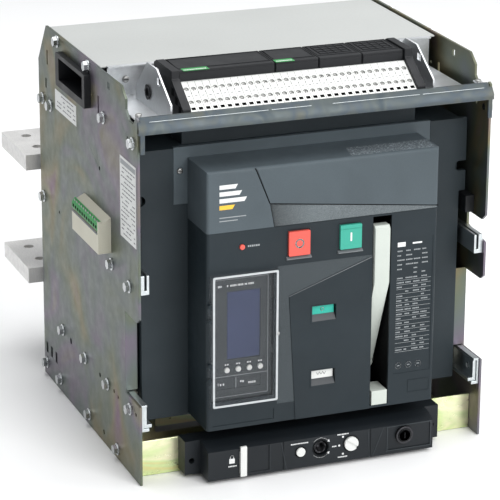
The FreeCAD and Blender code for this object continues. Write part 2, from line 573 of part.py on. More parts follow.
def front_covers():
    """The two moulded covers: dark lower one with the controls, lighter upper one."""
    side = ("0 - cover_half", "cover_half")
    depth = ("cover_front", "cover_rear")
    hollow_x = ("wall - cover_half", "cover_half - wall")
    hollow_y = ("cover_front + wall", "cover_rear + 1")
    upright = runs_along(Vector(0, 0, 1))

    def front_corner(edge):
        return upright(edge) and edge.CenterOfMass.y < 0 - measure("setback")

    block = box("lower_block", side, depth, ("cover_low", "cover_split - 0.3"))
    lower = rounded("lower_rounded", block, 4, front_corner)
    panel = [("0 - 42.6", "219"), ("slot_left", "255"), ("slot_left", "cover_low"), ("0 - 33.3", "cover_low")]
    panel = prism("lower_panel", "XZ_Plane", panel, "cover_front - 1", "cover_front + 1")
    front = ("cover_front - 2", "cover_front + wall + 1")
    tools = [box("lower_hollow", hollow_x, hollow_y, ("cover_low + wall", "cover_split + 1")),
             box("unit_mouth", ("unit_left - 0.6", "unit_right + 0.6"), front,
                 ("unit_low - 0.6", "unit_high + 0.6")),
             box("off_mouth", ("0 - 45", "0 - 18"), front, ("268", "298")),
             box("on_mouth", ("18.5", "46"), front, ("268.5", "298.5")),
             rod("reset_mouth", "Y", ("0 - 100.7", "cover_front - 2", "286"), 3.5, 6),
             box("handle_mouth", ("slot_left", "slot_right"), front, ("cover_low + wall", "slot_top")),
             box("state_mouth", ("0 - 14", "16"), front, ("184", "203")),
             box("spring_mouth", ("0 - 14", "16"), front, ("104", "123")),
             box("label_recess", ("91", "138"), ("cover_front - 1", "cover_front + 0.5"), ("104", "272")),
             box("lower_recess", ("0 - 136", "0 - 60"), ("cover_front - 1", "cover_front + 0.8"),
                 ("70", "83"))]
    outer = fuse("lower_with_panel", [lower, panel, *hinge_lugs()])
    node("lower_front_cover", cut("lower_front_cover", outer, tools))

    def front_or_top_corner(edge):
        ahead = edge.CenterOfMass.y < 0 - measure("setback")
        above = edge.CenterOfMass.z > measure("cover_split + 9")
        return front_corner(edge) or (runs_along(Vector(1, 0, 0))(edge) and ahead and above)

    block = box("upper_block", side, depth, ("cover_split", "cover_high"))
    upper = rounded("upper_rounded", block, 4, front_or_top_corner)
    wedge = [("0 - 67", "333"), ("cover_half + 1", "307.6"), ("cover_half + 1", "cover_split - 1"),
             ("0 - 61.5", "cover_split - 1")]
    seam = [("0 - 85.5", "cover_high + 1"), ("0 - 84", "cover_high + 1"), ("0 - 66.5", "334"),
            ("0 - 68", "334")]
    tools = [box("upper_hollow", hollow_x, hollow_y, ("cover_split - 1", "cover_high - wall")),
             prism("upper_wedge", "XZ_Plane", wedge, "cover_front - 1", "cover_front + 1"),
             prism("upper_seam", "XZ_Plane", seam, "cover_front - 1", "cover_front + 0.8")]
    node("upper_front_cover", cut("upper_front_cover", upper, tools))


def back_frame():
    """Flat frame behind the covers, and the wings that close the space out to the side plates."""
    outline = [("0 - cover_half", "case_low"), ("cover_half", "case_low"), ("cover_half", "323"),
               ("frame_half", "323"), ("frame_half", "frame_high"), ("0 - frame_half", "frame_high"),
               ("0 - frame_half", "323"), ("0 - cover_half", "323")]
    plate = prism("frame_plate", "XZ_Plane", outline, "cover_rear", "frame_rear")
    opening = box("frame_opening", ("wall - cover_half", "cover_half - wall"),
                  ("cover_rear - 1", "frame_rear + 1"), ("cover_low + wall", "cover_high - wall"))
    node("back_frame", cut("back_frame", plate, [opening]))
    wing = [("cover_half", "case_low"), ("wing_low_half", "case_low"), ("wing_low_half", "wing_step"),
            ("wing_half", "wing_step"), ("wing_half", "case_high"), ("frame_half", "case_high"),
            ("frame_half", "323"), ("cover_half", "323")]
    notch = [rod("wing_notch_end", "Y", ("wing_half - 8", "cover_rear - 1", "331"), 6, 9),
             box("wing_notch", ("wing_half - 8", "wing_half + 1"), ("cover_rear - 1", "frame_rear + 1"),
                 ("325", "337"))]
    right = cut("wing_right", prism("wing_sheet", "XZ_Plane", wing, "cover_rear", "frame_rear"), notch)
    node("side_wings", group("side_wings", [right, mirrored("wing_left", right)]))


def pole_case():
    """Moulded case behind the frame: mechanism space in front, three pole chambers behind."""
    outer = fuse("case_outer", [
        box("case_block", ("0 - case_half", "case_half"), ("frame_rear", "case_rear"),
            ("case_low", "case_high")),
        box("case_hump", ("0 - hump_half", "hump_half"), ("frame_rear + 6", "case_rear"),
            ("case_high", "hump_high")),
        box("racking_tongue", ("0 - 30", "30"), ("99", "111"), ("50", "case_low"))])
    inside_z = ("case_low + case_wall", "case_high - case_wall")
    tools = [box("mechanism_space", ("case_wall - case_half", "case_half - case_wall"),
                 ("frame_rear - 1", "mid_wall"), inside_z)]
    chambers = {"left": ("case_wall - case_half", "0 - 64.5"), "centre": ("0 - 60.5", "60.5"),
                "right": ("64.5", "case_half - case_wall")}
    for name, centre in poles():
        tools.append(box(f"chamber_{name}", chambers[name], ("mid_wall + case_wall", "case_rear - case_wall"),
                         inside_z))
        mouth = (f"{centre} - finger_half - 2", f"{centre} + finger_half + 2")
        for level in ("upper_bar", "lower_bar"):
            tools.append(box(f"case_mouth_{level}_{name}", mouth,
                             ("case_rear - case_wall - 1", "case_rear + 1"), (f"{level} - 21", f"{level} + 21")))
    tools.append(rod("case_pin_hole", "X", ("0 - 190", "arm_depth", "arm_height"),
                     "pin_radius + running_gap", 380))
    node("pole_case", cut("pole_case", outer, tools))


def feet():
    """Nylon feet that ride on the extension rails."""
    right = [box(f"foot_{index}", ("case_half", "slide_outer - 5"), (f"{front}", f"{front + 24}"),
                 ("slide_low + 4.4", "92")) for index, front in enumerate((60, 286))]
    node("guide_feet", group("guide_feet", right + [mirrored(f"foot_{index}_left", foot)
                                                    for index, foot in enumerate(right)]))


def trip_unit():
    """Electronic trip unit, its four keys and the clear hinged window over it."""
    block = box("unit_block", ("unit_left", "unit_right"), ("unit_front", "36"), ("unit_low", "unit_high"))
    tools = [box("unit_display_recess", ("0 - 117", "0 - 76"), ("unit_front - 1", "unit_front + 1.2"),
                 ("149", "232")),
             box("unit_low_recess", ("0 - 129", "0 - 75"), ("unit_front - 1", "unit_front + 1"),
                 ("113", "126"))]
    front = measure("unit_front - 1.9 - setback")
    for index, across in enumerate(("0 - 117", "0 - 103", "0 - 89.5", "0 - 76"), start=1):
        tools.append(rod(f"key_well_{index}", "Y", (across, "unit_front - 1", "menu_height"),
                         "menu_radius + 0.3", 12))
        key = rod(f"key_{index}", "Y", (across, "unit_front - 2", "menu_height"), "menu_radius", 9)
        node(f"menu_key_{index}", rounded(f"menu_key_{index}", key, 0.8,
                                          lambda edge: edge.Closed and edge.CenterOfMass.y < front))
    node("trip_unit", cut("trip_unit", block, tools))
    pane = box("window_block", ("window_left", "window_right"), ("cover_front - 6.6", "cover_front - 0.8"),
               ("window_low", "window_high"))
    hollow = box("window_hollow", ("window_left + 3", "window_right - 2"), ("cover_front - 4.8", "cover_front"),
                 ("window_low + 2", "window_high - 2"))
    gaps, knuckles = [hollow], []
    for index, height in enumerate(HINGE_HEIGHTS):
        for end, low in (("low", height - HINGE_REACH - 0.3), ("high", height + KNUCKLE_HALF)):
            gaps.append(box(f"hinge_gap_{index}_{end}", ("window_left - 1", "window_left + 2.7"),
                            ("cover_front - 7", "cover_front"), (f"{low}", f"{low + 4.3}")))
        knuckles.append(rod(f"knuckle_{index}", "Z", HINGE_LINE + (f"{height - KNUCKLE_HALF}",), "hinge_radius",
                            2 * KNUCKLE_HALF))
    node("trip_window", fuse("trip_window", [cut("window_pane", pane, gaps), *knuckles]))


def push_buttons():
    """Opening, closing and reset buttons."""
    for label, x, z in (("off_button", ("0 - 44.5", "0 - 18.5"), ("268.5", "297.5")),
                        ("on_button", ("19", "45.5"), ("269", "298"))):
        block = box(f"{label}_block", x, ("cover_front - 3.6", "cover_front + 10"), z)
        node(label, rounded(label, block, 1, runs_along(Vector(0, 1, 0))))
    cap = rod("reset_rod", "Y", ("0 - 100.7", "cover_front - 2.4", "286"), 3.1, 12)
    front = measure("cover_front - 2.3 - setback")
    node("reset_button", rounded("reset_button", cap, 0.8,
                                 lambda edge: edge.Closed and edge.CenterOfMass.y < front))


def charging_handle():
    """Cranked pull-down handle and the block under its slot."""
    arm = [("pivot_depth - 7", "pivot_height - 3"), ("cover_front - 4", "222"), ("cover_front - 4", "288"),
           ("cover_front - 1", "292"), ("cover_front + 9", "292"), ("cover_front + 11", "288"),
           ("cover_front + 11", "226"), ("pivot_depth + 8", "pivot_height + 4")]
    grip = prism("handle_arm", "YZ_Plane", arm, "slot_left + 1.5", "slot_left + 20.5")
    boss = rod("handle_boss", "X", ("slot_left + 1.5", "pivot_depth", "pivot_height"), 9, 19)
    bore = rod("handle_bore", "X", ("slot_left", "pivot_depth", "pivot_height"), "4 + running_gap", 24)
    node("charging_handle", cut("charging_handle", fuse("handle_solid", [grip, boss]), [bore]))
    node("handle_stop_block", box("handle_stop_block", ("slot_left + 2.5", "slot_right - 1"),
                                  ("cover_front - 0.6", "8"), ("cover_low + wall", "86")))


def indicators():
    """Flags behind the two small windows: contact state and spring state."""
    for label, low in (("contact_indicator", 186), ("spring_indicator", 106)):
        node(label, box(label, ("0 - 44", "15"), ("cover_front + wall + 0.8", "cover_front + wall + 2.3"),
                        (f"{low}", f"{low + 16}")))


# ---------------------------------------------------------------- mechanism and poles

def mechanism():
    """Side plates of the operating mechanism with the cam shaft, main shaft, spring, motor and coils."""
    outline = [("50", "80"), ("150", "80"), ("150", "300"), ("50", "300")]
    left = prism("mechanism_left", "YZ_Plane", outline, "0 - 48", "0 - 44")
    reach = [("10", "92"), ("150", "80"), ("150", "300"), ("50", "300"), ("50", "124"), ("10", "124")]
    right = prism("mechanism_right", "YZ_Plane", reach, "52", "56")
    ties = [rod(f"mechanism_tie_{index}", "X", ("0 - 44", depth, height), 5, 96)
            for index, (depth, height) in enumerate((("60", "290"), ("140", "290"), ("140", "90")))]
    tools = [rod("main_shaft_hole", "X", ("0 - 60", "shaft_depth", "shaft_height"),
                 "shaft_radius + running_gap", 130),
             rod("cam_shaft_hole", "X", ("0 - 60", "cam_depth", "cam_height"), "10 + running_gap", 130)]
    handle_pin = rod("handle_pin", "X", ("53", "pivot_depth", "pivot_height"), 4, 34)
    solid = fuse("mechanism_solid", [left, right, handle_pin, *ties])
    node("mechanism_frame", cut("mechanism_frame", solid, tools))
    shaft = rod("main_shaft_rod", "X", ("0 - 165", "shaft_depth", "shaft_height"), "shaft_radius", 330)
    cranks = [box(f"crank_{name}", (f"{centre} + 8", f"{centre} + 20"), ("shaft_depth - 7", "shaft_depth + 7"),
                  ("shaft_height", "shaft_height + 36")) for name, centre in poles()]
    node("main_shaft", fuse("main_shaft", [shaft, *cranks]))
    cam = rod("cam_disc", "X", ("0 - 32", "cam_depth - 5", "cam_height"), 26, 14)
    cam_rod = rod("cam_rod", "X", ("0 - 56", "cam_depth", "cam_height"), 10, 120)
    node("cam_shaft", fuse("cam_shaft", [cam_rod, cam]))
    coil = rod("spring_outer", "Z", ("110", "96", "170"), 16, 130)
    bore = rod("spring_inner", "Z", ("110", "96", "169"), 11, 132)
    node("closing_spring", cut("closing_spring", coil, [bore]))
    node("charging_motor", rod("charging_motor", "X", ("90", "100", "104"), 26, 92))
    coils = [rod(f"coil_{index}", "Z", (across, "100", "250"), 14, 64)
             for index, across in enumerate(("0 - 150", "0 - 115", "0 - 80"))]
    node("release_coils", group("release_coils", coils))


def finger_cluster(level, name, centre):
    """Two rows of contact fingers joined by a web; they grip the fixed stab from above and below."""
    x = (f"{centre} - finger_half", f"{centre} + finger_half")
    label = f"fingers_{level}_{name}"
    top = f"{level} + bar_thick/2"
    bottom = f"{level} - bar_thick/2"
    rows = [box(f"{label}_top", x, ("finger_front", "finger_rear"), (f"{top} + 0.3", f"{top} + finger_thick")),
            box(f"{label}_low", x, ("finger_front", "finger_rear"),
                (f"{bottom} - finger_thick", f"{bottom} - 0.3"))]
    web = box(f"{label}_web", x, ("320", "326"), (f"{bottom} - 1", f"{top} + 1"))
    return fuse(label, [*rows, web])


def pole_parts():
    """Fixed and moving contacts, arc chutes, current transformers and plug-in fingers of the poles."""
    clusters = [finger_cluster(level, name, centre)
                for level in ("upper_bar", "lower_bar") for name, centre in poles()]
    node("finger_clusters", group("finger_clusters", clusters))
    fixed, arms, chutes, transformers = [], [], [], []
    for name, centre in poles():
        x = (f"{centre} - finger_half", f"{centre} + finger_half")
        fixed.append(box(f"upper_contact_{name}", x, ("232", "319"),
                         ("upper_bar - bar_thick/2", "upper_bar + bar_thick/2")))
        fixed.append(box(f"lower_contact_{name}", x, ("218", "319"),
                         ("lower_bar - bar_thick/2", "lower_bar + bar_thick/2")))
        arm = box(f"arm_{name}", (f"{centre} - 30", f"{centre} + 30"), ("arm_depth - 8", "arm_depth + 8"),
                  ("arm_height - 9", "288"))
        pad = box(f"arm_pad_{name}", (f"{centre} - 30", f"{centre} + 30"), ("arm_depth + 8", "231.6"),
                  ("264", "288"))
        arms += [arm, pad]
        chute = box(f"chute_{name}", (f"{centre} - 46", f"{centre} + 46"), ("182", "318"), ("300", "384"))
        slots = [box(f"chute_{name}_slot_{index}", (f"{centre} - 42", f"{centre} + 42"),
                     (f"{192 + 15 * index}", f"{200 + 15 * index}"), ("299", "378")) for index in range(8)]
        chutes.append(cut(f"chute_whole_{name}", chute, slots))
        ring = box(f"transformer_{name}", (f"{centre} - 52", f"{centre} + 52"), ("258", "292"), ("95", "157"))
        window = box(f"transformer_window_{name}", (f"{centre} - 41", f"{centre} + 41"), ("257", "293"),
                     ("114", "136"))
        transformers.append(cut(f"transformer_whole_{name}", ring, [window]))
    node("fixed_contacts", group("fixed_contacts", fixed))
    node("arc_chutes", group("arc_chutes", chutes))
    node("current_transformers", group("current_transformers", transformers))
    arms.append(rod("contact_pin", "X", ("0 - 188", "arm_depth", "arm_height"), "pin_radius", 376))
    closed = fuse("moving_contacts", arms)
    pivot = Vector(0, measure("arm_depth - setback"), measure("arm_height"))
    swing = Rotation(Vector(1, 0, 0), measure("arm_open_angle"))
    closed.Placement = FreeCAD.Placement(pivot - swing.multVec(pivot), swing)
    node("moving_contacts", closed)
    node("secondary_contacts", box("secondary_contacts", ("0 - 130", "110"), ("70", "110"),
                                   ("hump_high", "419")))


# ---------------------------------------------------------------- build, check and write

def build():
    side_plate("left_side_plate", -1, False)
    side_plate("right_side_plate", 1, True)
    for make in (plate_bolts, base_pan, top_rail, shelf_and_brackets, hood, control_terminals, grip_inserts,
                 position_block, rear_base, main_terminals, shutter, guides, stop_blocks, extension_rails,
                 racking_housing, racking_drive, racking_controls, front_covers, back_frame, pole_case, feet,
                 trip_unit, push_buttons, charging_handle, indicators, mechanism, pole_parts):
        make()
    doc.recompute()


def check():
    for thing in doc.Objects:
        if "Invalid" in thing.State or "Error" in thing.State:
            raise RuntimeError(f"{thing.Name} failed: {thing.State}")
    for label, thing in subparts.items():
        if thing.Shape.isNull() or not thing.Shape.isValid() or not thing.Shape.Solids:
            raise RuntimeError(f"{label} has no valid solid")


def write():
    os.makedirs("parts", exist_ok=True)
    for label, thing in subparts.items():
        thing.Shape.exportStep(f"parts/{label}.step")
    print(f"{len(subparts)} sub-parts written")


build()
check()
write()
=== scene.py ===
"""Looks of the draw-out air circuit breaker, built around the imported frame.

Pieces are described in millimetres: x to the right, depth behind the side plates' front edge, z up.
"""

import json
import math
import random

import bpy
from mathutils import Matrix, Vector


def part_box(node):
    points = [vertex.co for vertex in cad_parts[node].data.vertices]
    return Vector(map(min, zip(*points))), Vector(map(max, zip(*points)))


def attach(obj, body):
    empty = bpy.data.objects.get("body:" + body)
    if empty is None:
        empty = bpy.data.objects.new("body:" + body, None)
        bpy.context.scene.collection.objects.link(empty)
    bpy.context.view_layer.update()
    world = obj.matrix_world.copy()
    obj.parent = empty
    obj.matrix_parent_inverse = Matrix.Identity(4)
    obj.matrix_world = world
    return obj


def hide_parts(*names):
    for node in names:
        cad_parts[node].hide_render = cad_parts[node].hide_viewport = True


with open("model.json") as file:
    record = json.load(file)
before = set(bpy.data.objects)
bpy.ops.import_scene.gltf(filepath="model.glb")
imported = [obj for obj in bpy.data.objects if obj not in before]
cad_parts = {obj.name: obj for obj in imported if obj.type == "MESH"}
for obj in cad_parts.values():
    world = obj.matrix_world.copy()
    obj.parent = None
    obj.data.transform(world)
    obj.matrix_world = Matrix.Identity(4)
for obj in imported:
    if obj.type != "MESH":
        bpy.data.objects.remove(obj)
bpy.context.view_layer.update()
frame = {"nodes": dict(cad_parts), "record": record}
NODES = frame["nodes"]
# The side plates' front edge, from which depths are counted.
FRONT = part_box("left_side_plate")[0].y
scene = bpy.context.scene


# ---------------------------------------------------------------- materials

class Look:
    """A node material under construction around one Principled BSDF."""

    def __init__(self, name, metal=0.0, **sockets):
        self.material = bpy.data.materials.new(name)
        self.material.use_nodes = True
        self.tree = self.material.node_tree
        self.shader = self.tree.nodes["Principled BSDF"]
        self.shader.inputs["Metallic"].default_value = metal
        for socket, value in sockets.items():
            self.shader.inputs[socket.replace("_", " ")].default_value = value
        self.where = self.add("ShaderNodeTexCoord").outputs["Object"]
        self.height = None

    def add(self, kind, **settings):
        made = self.tree.nodes.new(kind)
        for key, value in settings.items():
            setattr(made, key, value)
        return made

    def link(self, source, target):
        self.tree.links.new(source, target)

    def noise(self, scale, detail=2.0, roughness=0.5, stretch=None, distortion=0.0):
        """Noise in object space; scale is in features per metre."""
        texture = self.add("ShaderNodeTexNoise")
        texture.inputs["Scale"].default_value = scale
        texture.inputs["Detail"].default_value = detail
        texture.inputs["Roughness"].default_value = roughness
        texture.inputs["Distortion"].default_value = distortion
        if stretch:
            mapping = self.add("ShaderNodeMapping")
            mapping.inputs["Scale"].default_value = stretch
            self.link(self.where, mapping.inputs["Vector"])
            self.link(mapping.outputs["Vector"], texture.inputs["Vector"])
        else:
            self.link(self.where, texture.inputs["Vector"])
        return texture.outputs["Fac"]

    def ramp(self, fac, stops):
        """Colour ramp over (position, (r, g, b)) stops."""
        ramp = self.add("ShaderNodeValToRGB")
        elements = ramp.color_ramp.elements
        while len(elements) < len(stops):
            elements.new(0.5)
        for element, (position, colour) in zip(elements, stops):
            element.position = position
            element.color = (*colour, 1.0)
        self.link(fac, ramp.inputs["Fac"])
        return ramp.outputs["Color"]

    def spread(self, fac, low, high):
        """Maps the middle of a noise value's range onto low to high."""
        mapped = self.add("ShaderNodeMapRange")
        for socket, value in (("From Min", 0.3), ("From Max", 0.7), ("To Min", low), ("To Max", high)):
            mapped.inputs[socket].default_value = value
        self.link(fac, mapped.inputs["Value"])
        return mapped.outputs["Result"]

    def mix(self, fac, first, second, blend="MIX"):
        mixed = self.add("ShaderNodeMix", data_type="RGBA", blend_type=blend)
        for socket, value in ((mixed.inputs[0], fac), (mixed.inputs[6], first), (mixed.inputs[7], second)):
            if isinstance(value, (int, float)):
                socket.default_value = value
            elif isinstance(value, tuple):
                socket.default_value = (*value, 1.0)
            else:
                self.link(value, socket)
        return mixed.outputs[2]

    def bump(self, fac, depth):
        """Adds relief of the given depth in metres."""
        relief = self.add("ShaderNodeBump")
        relief.inputs["Strength"].default_value = 1.0
        relief.inputs["Distance"].default_value = depth
        self.link(fac, relief.inputs["Height"])
        if self.height is not None:
            self.link(self.height, relief.inputs["Normal"])
        self.height = relief.outputs["Normal"]

    def tint(self, source):
        self.link(source, self.shader.inputs["Base Color"])

    def polish(self, source):
        self.link(source, self.shader.inputs["Roughness"])

    def done(self):
        if self.height is not None:
            self.link(self.height, self.shader.inputs["Normal"])
        return self.material


def scaled(colour, factor):
    return tuple(min(1.0, channel * factor) for channel in colour)


def moulded(name, colour, rough=0.5, grain=1400.0, relief=0.00004, vary=0.12, **sockets):
    """Injection-moulded plastic: fine spark-eroded grain, faint flow marks and handling sheen."""
    look = Look(name, **{"Specular_IOR_Level": 0.28, **sockets})
    flow = look.noise(9.0, 3.0, 0.6, distortion=0.4)
    fine = look.noise(grain, 2.0, 0.6)
    base = look.ramp(flow, [(0.3, scaled(colour, 1 - vary)), (0.7, scaled(colour, 1 + vary))])
    speck = look.ramp(fine, [(0.35, scaled((1, 1, 1), 0.93)), (0.65, (1, 1, 1))])
    look.tint(look.mix(1.0, base, speck, "MULTIPLY"))
    look.polish(look.spread(look.noise(26.0, 4.0, 0.6), rough - 0.07, rough + 0.08))
    look.bump(fine, relief)
    return look.done()


def speckled(name, dark, light, scale=1500.0, relief=0.00005):
    """Coarse moulded texture whose grains catch the light."""
    look = Look(name, Specular_IOR_Level=0.3)
    grains = look.noise(scale, 3.0, 0.75)
    patches = look.noise(14.0, 2.0)
    colour = look.ramp(grains, [(0.34, dark), (0.52, scaled(dark, 1.5)), (0.7, light)])
    shade = look.ramp(patches, [(0.3, (0.88, 0.88, 0.88)), (0.7, (1, 1, 1))])
    look.tint(look.mix(1.0, colour, shade, "MULTIPLY"))
    look.polish(look.spread(grains, 0.72, 0.48))
    look.bump(grains, relief)
    return look.done()


def passivated(name, stops, rough, metal=0.82, blotch=7.0, stretch=(1, 1, 1)):
    """Zinc with a thin chromate film: broad drifting interference colours, rolling lines, spangle."""
    look = Look(name, metal)
    drift = look.noise(blotch, 2.5, 0.55, stretch, 0.9)
    fine = look.noise(60.0, 4.0, 0.6, stretch)
    film = look.ramp(drift, stops)
    shade = look.ramp(fine, [(0.3, (0.86, 0.86, 0.86)), (0.7, (1, 1, 1))])
    look.tint(look.mix(1.0, film, shade, "MULTIPLY"))
    look.polish(look.spread(fine, rough - 0.07, rough + 0.12))
    look.bump(look.noise(420.0, 3.0, 0.6, (1, 6, 1)), 0.000012)
    look.bump(look.noise(30.0, 2.0), 0.00012)
    return look.done()


def plated(name, colour, rough=0.3, lines=(1, 12, 1), metal=1.0):
    """Drawn or rolled metal with a bright coating and fine lines along the rolling direction."""
    look = Look(name, metal)
    streak = look.noise(160.0, 4.0, 0.65, lines)
    cloud = look.noise(18.0, 3.0, 0.55)
    base = look.ramp(streak, [(0.3, scaled(colour, 0.88)), (0.7, scaled(colour, 1.072))])
    dull = look.ramp(cloud, [(0.3, (0.9, 0.9, 0.9)), (0.65, (1, 1, 1))])
    look.tint(look.mix(1.0, base, dull, "MULTIPLY"))
    look.polish(look.spread(cloud, rough - 0.06, rough + 0.12))
    look.bump(streak, 0.00001)
    return look.done()


def coated(name, colour):
    """Powder coat with its orange-peel surface."""
    look = Look(name)
    peel = look.noise(330.0, 2.0, 0.5)
    cloud = look.noise(6.0, 2.0)
    look.tint(look.ramp(cloud, [(0.3, scaled(colour, 0.94)), (0.7, scaled(colour, 1.04))]))
    look.polish(look.spread(peel, 0.38, 0.47))
    look.bump(peel, 0.00003)
    return look.done()


def printed(name, colour, rough=0.5):
    """Printing ink or label stock: slight unevenness of the layer."""
    look = Look(name)
    ink = look.noise(700.0, 3.0, 0.6)
    look.tint(look.ramp(ink, [(0.3, scaled(colour, 0.86)), (0.6, colour)]))
    look.polish(look.spread(ink, rough - 0.05, rough + 0.08))
    look.bump(ink, 0.00001)
    return look.done()


def display(name):
    """Unlit liquid crystal panel behind a matt film, with its dot rows just visible."""
    look = Look(name, Specular_IOR_Level=0.12)
    cloud = look.noise(11.0, 1.0)
    dots = look.add("ShaderNodeTexWave", wave_type="BANDS", bands_direction="Z")
    dots.inputs["Scale"].default_value = 180.0
    look.link(look.where, dots.inputs["Vector"])
    base = look.ramp(cloud, [(0.3, (0.04, 0.051, 0.104)), (0.7, (0.052, 0.064, 0.13))])
    rows = look.ramp(dots.outputs["Fac"], [(0.2, (0.94, 0.94, 0.94)), (0.8, (1, 1, 1))])
    look.tint(look.mix(1.0, base, rows, "MULTIPLY"))
    look.polish(look.spread(look.noise(900.0, 2.0), 0.45, 0.55))
    look.bump(look.noise(900.0, 2.0), 0.000008)
    return look.done()


def clear(name, alpha, dark, light):
    """Clear polycarbonate with faint moulding waves and fine scratches."""
    look = Look(name, Alpha=alpha, Specular_IOR_Level=0.25)
    scratch = look.noise(90.0, 5.0, 0.7, (1, 1, 7))
    look.tint(look.ramp(scratch, [(0.3, dark), (0.7, light)]))
    look.polish(look.spread(scratch, 0.03, 0.1))
    look.bump(look.noise(35.0, 2.0), 0.00005)
    return look.done()


# Colours of the chromate films along the drifting noise.
ZINC_FILM = [(0.28, (0.20, 0.125, 0.18)), (0.37, (0.20, 0.175, 0.10)), (0.46, (0.135, 0.155, 0.115)),
             (0.55, (0.13, 0.15, 0.145)), (0.64, (0.165, 0.14, 0.18)), (0.73, (0.20, 0.185, 0.12))]
GOLD_FILM = [(0.28, (0.715, 0.403, 0.414)), (0.38, (0.808, 0.672, 0.296)), (0.48, (0.692, 0.806, 0.414)),
             (0.58, (0.923, 0.896, 0.611)), (0.66, (0.761, 0.851, 0.493)), (0.74, (0.946, 0.56, 0.394))]
BLUE_FILM = [(0.3, (0.057, 0.075, 0.088)), (0.42, (0.094, 0.111, 0.111)), (0.52, (0.071, 0.09, 0.107)),
             (0.64, (0.1, 0.108, 0.095)), (0.72, (0.071, 0.081, 0.098))]

# The look of each material slot in the record.
LOOKS = {
    "zinc_plate": passivated("zinc_plate_film", ZINC_FILM, rough=0.4, metal=0.75),
    "yellow_zinc": passivated("gold_zinc_film", GOLD_FILM, rough=0.3, blotch=11.0, stretch=(1, 1, 2.4)),
    "rail_zinc": passivated("blue_zinc_film", BLUE_FILM, rough=0.5, blotch=16.0, metal=0.6),
    "shelf_zinc": plated("bright_zinc_sheet", (0.78, 0.80, 0.82), rough=0.42),
    "bolt_zinc": plated("bolt_zinc_bright", (0.50, 0.52, 0.53), rough=0.2, lines=(1, 1, 1)),
    "grey_paint": coated("hood_powder_coat", (0.44, 0.452, 0.44)),
    "black_plastic": moulded("black_moulding", (0.010, 0.011, 0.013), rough=0.45),
    "white_plastic": moulded("white_moulding", (0.70, 0.71, 0.69), rough=0.42, vary=0.04),
    "beige_plastic": moulded("beige_moulding", (0.60, 0.58, 0.48), rough=0.5, vary=0.05),
    "green_plastic": moulded("green_moulding", (0.05, 0.30, 0.09), rough=0.42),
    "case_moulding": moulded("case_moulding", (0.018, 0.026, 0.031), rough=0.56, grain=900.0, relief=0.00006),
    "tinned_copper": plated("tinned_copper", (0.80, 0.79, 0.775), rough=0.45, lines=(12, 1, 1), metal=0.6),
    "rack_plastic": moulded("rack_moulding", (0.009, 0.012, 0.015), rough=0.45),
    "lock_chrome": plated("lock_chrome", (0.62, 0.63, 0.65), rough=0.14, lines=(1, 1, 1)),
    "steel_parts": plated("machined_steel", (0.42, 0.42, 0.42), rough=0.35, lines=(10, 1, 1)),
    "cover_plastic": moulded("cover_moulding", (0.012, 0.0195, 0.0245), rough=0.55, grain=1000.0,
                             relief=0.00005),
    "cover_light": moulded("upper_cover_moulding", (0.068, 0.087, 0.099), rough=0.55, grain=1000.0,
                           relief=0.00005),
    "unit_plastic": moulded("unit_moulding", (0.038, 0.044, 0.048), rough=0.5),
    "handle_plastic": moulded("handle_moulding", (0.53, 0.57, 0.525), rough=0.42, vary=0.03),
    "coil_winding": moulded("taped_coil", (0.36, 0.16, 0.05), rough=0.6, grain=500.0, relief=0.0001),
    "chute_steel": plated("chute_steel", (0.22, 0.21, 0.2), rough=0.5),
    "brass_contacts": plated("contact_brass", (0.68, 0.52, 0.22), rough=0.3),
    "green_flag": moulded("flag_teal", (0.03, 0.40, 0.31), rough=0.45, vary=0.04),
    "clear_window": clear("clear_polycarbonate", 0.1, (0.10, 0.11, 0.12), (0.16, 0.17, 0.18)),
    "red_plastic": moulded("red_moulding", (0.74, 0.11, 0.085), rough=0.4, vary=0.05),
    "teal_plastic": moulded("teal_moulding", (0.045, 0.36, 0.27), rough=0.4, vary=0.05),
}
# Looks that only added pieces and a few single nodes wear.
SPECKLE = speckled("speckled_moulding", (0.075, 0.088, 0.094), (0.27, 0.30, 0.31))
DARK_SPECKLE = speckled("dark_speckled_moulding", (0.026, 0.033, 0.037), (0.14, 0.16, 0.17))
STICKER = speckled("speckled_sticker", (0.07, 0.085, 0.095), (0.42, 0.47, 0.50), scale=520.0,
                   relief=0.00002)
BADGE = moulded("badge_moulding", (0.030, 0.037, 0.042), rough=0.45, grain=1000.0)
# Painted highlight for the edges of the trip unit's clear window.
RIM_HIGHLIGHT = clear("rim_edge_highlight", 0.55, (0.66, 0.69, 0.71), (0.8, 0.83, 0.85))
# Dark steel; on the racking screw the darkness is painted shade of the crank hole it sits in.
DARK_STEEL_AND_HOLE_SHADE = plated("dark_steel_and_hole_shade", (0.06, 0.06, 0.065), rough=0.4, lines=(1, 1, 1))
# Bright zinc of the guides and extension rails, also used as the painted highlight along the front rail's fold.
GUIDE_ZINC_AND_HIGHLIGHT = plated("guide_zinc_and_fold_highlight", (0.58, 0.62, 0.63), rough=0.34)
MARKS = printed("white_print", (0.72, 0.73, 0.73))
FAINT = printed("grey_print", (0.30, 0.32, 0.33))
AMBER = printed("amber_print", (0.85, 0.50, 0.04))
LABEL = printed("label_stock", (0.72, 0.73, 0.72), rough=0.4)
INK = printed("label_ink", (0.12, 0.13, 0.14))
GLASS_DISPLAY = display("display_panel")
# Painted shade: a near-black sheet put in gaps, wells, slots and holes where only shade falls.
SHADOW_GAP = moulded("painted_shade_black", (0.004, 0.0045, 0.005), rough=0.8, Specular_IOR_Level=0.1)
SCREW = plated("terminal_screw", (0.42, 0.42, 0.41), rough=0.4, lines=(1, 1, 1))
# Grey of the button ledges, also used as a painted highlight along the raised panel's edge.
LEDGE_GREY_AND_HIGHLIGHT = moulded("ledge_grey_and_edge_highlight", (0.16, 0.17, 0.18), rough=0.4)
SILL_GREY = moulded("sill_moulding", (0.05, 0.055, 0.06), rough=0.45)


# ---------------------------------------------------------------- mesh building

# Where a point's two outline values and its position along the axis go.
AXES = {"x": lambda a, b, c: (c, a, b), "y": lambda a, b, c: (a, c, b), "z": lambda a, b, c: (a, b, c)}


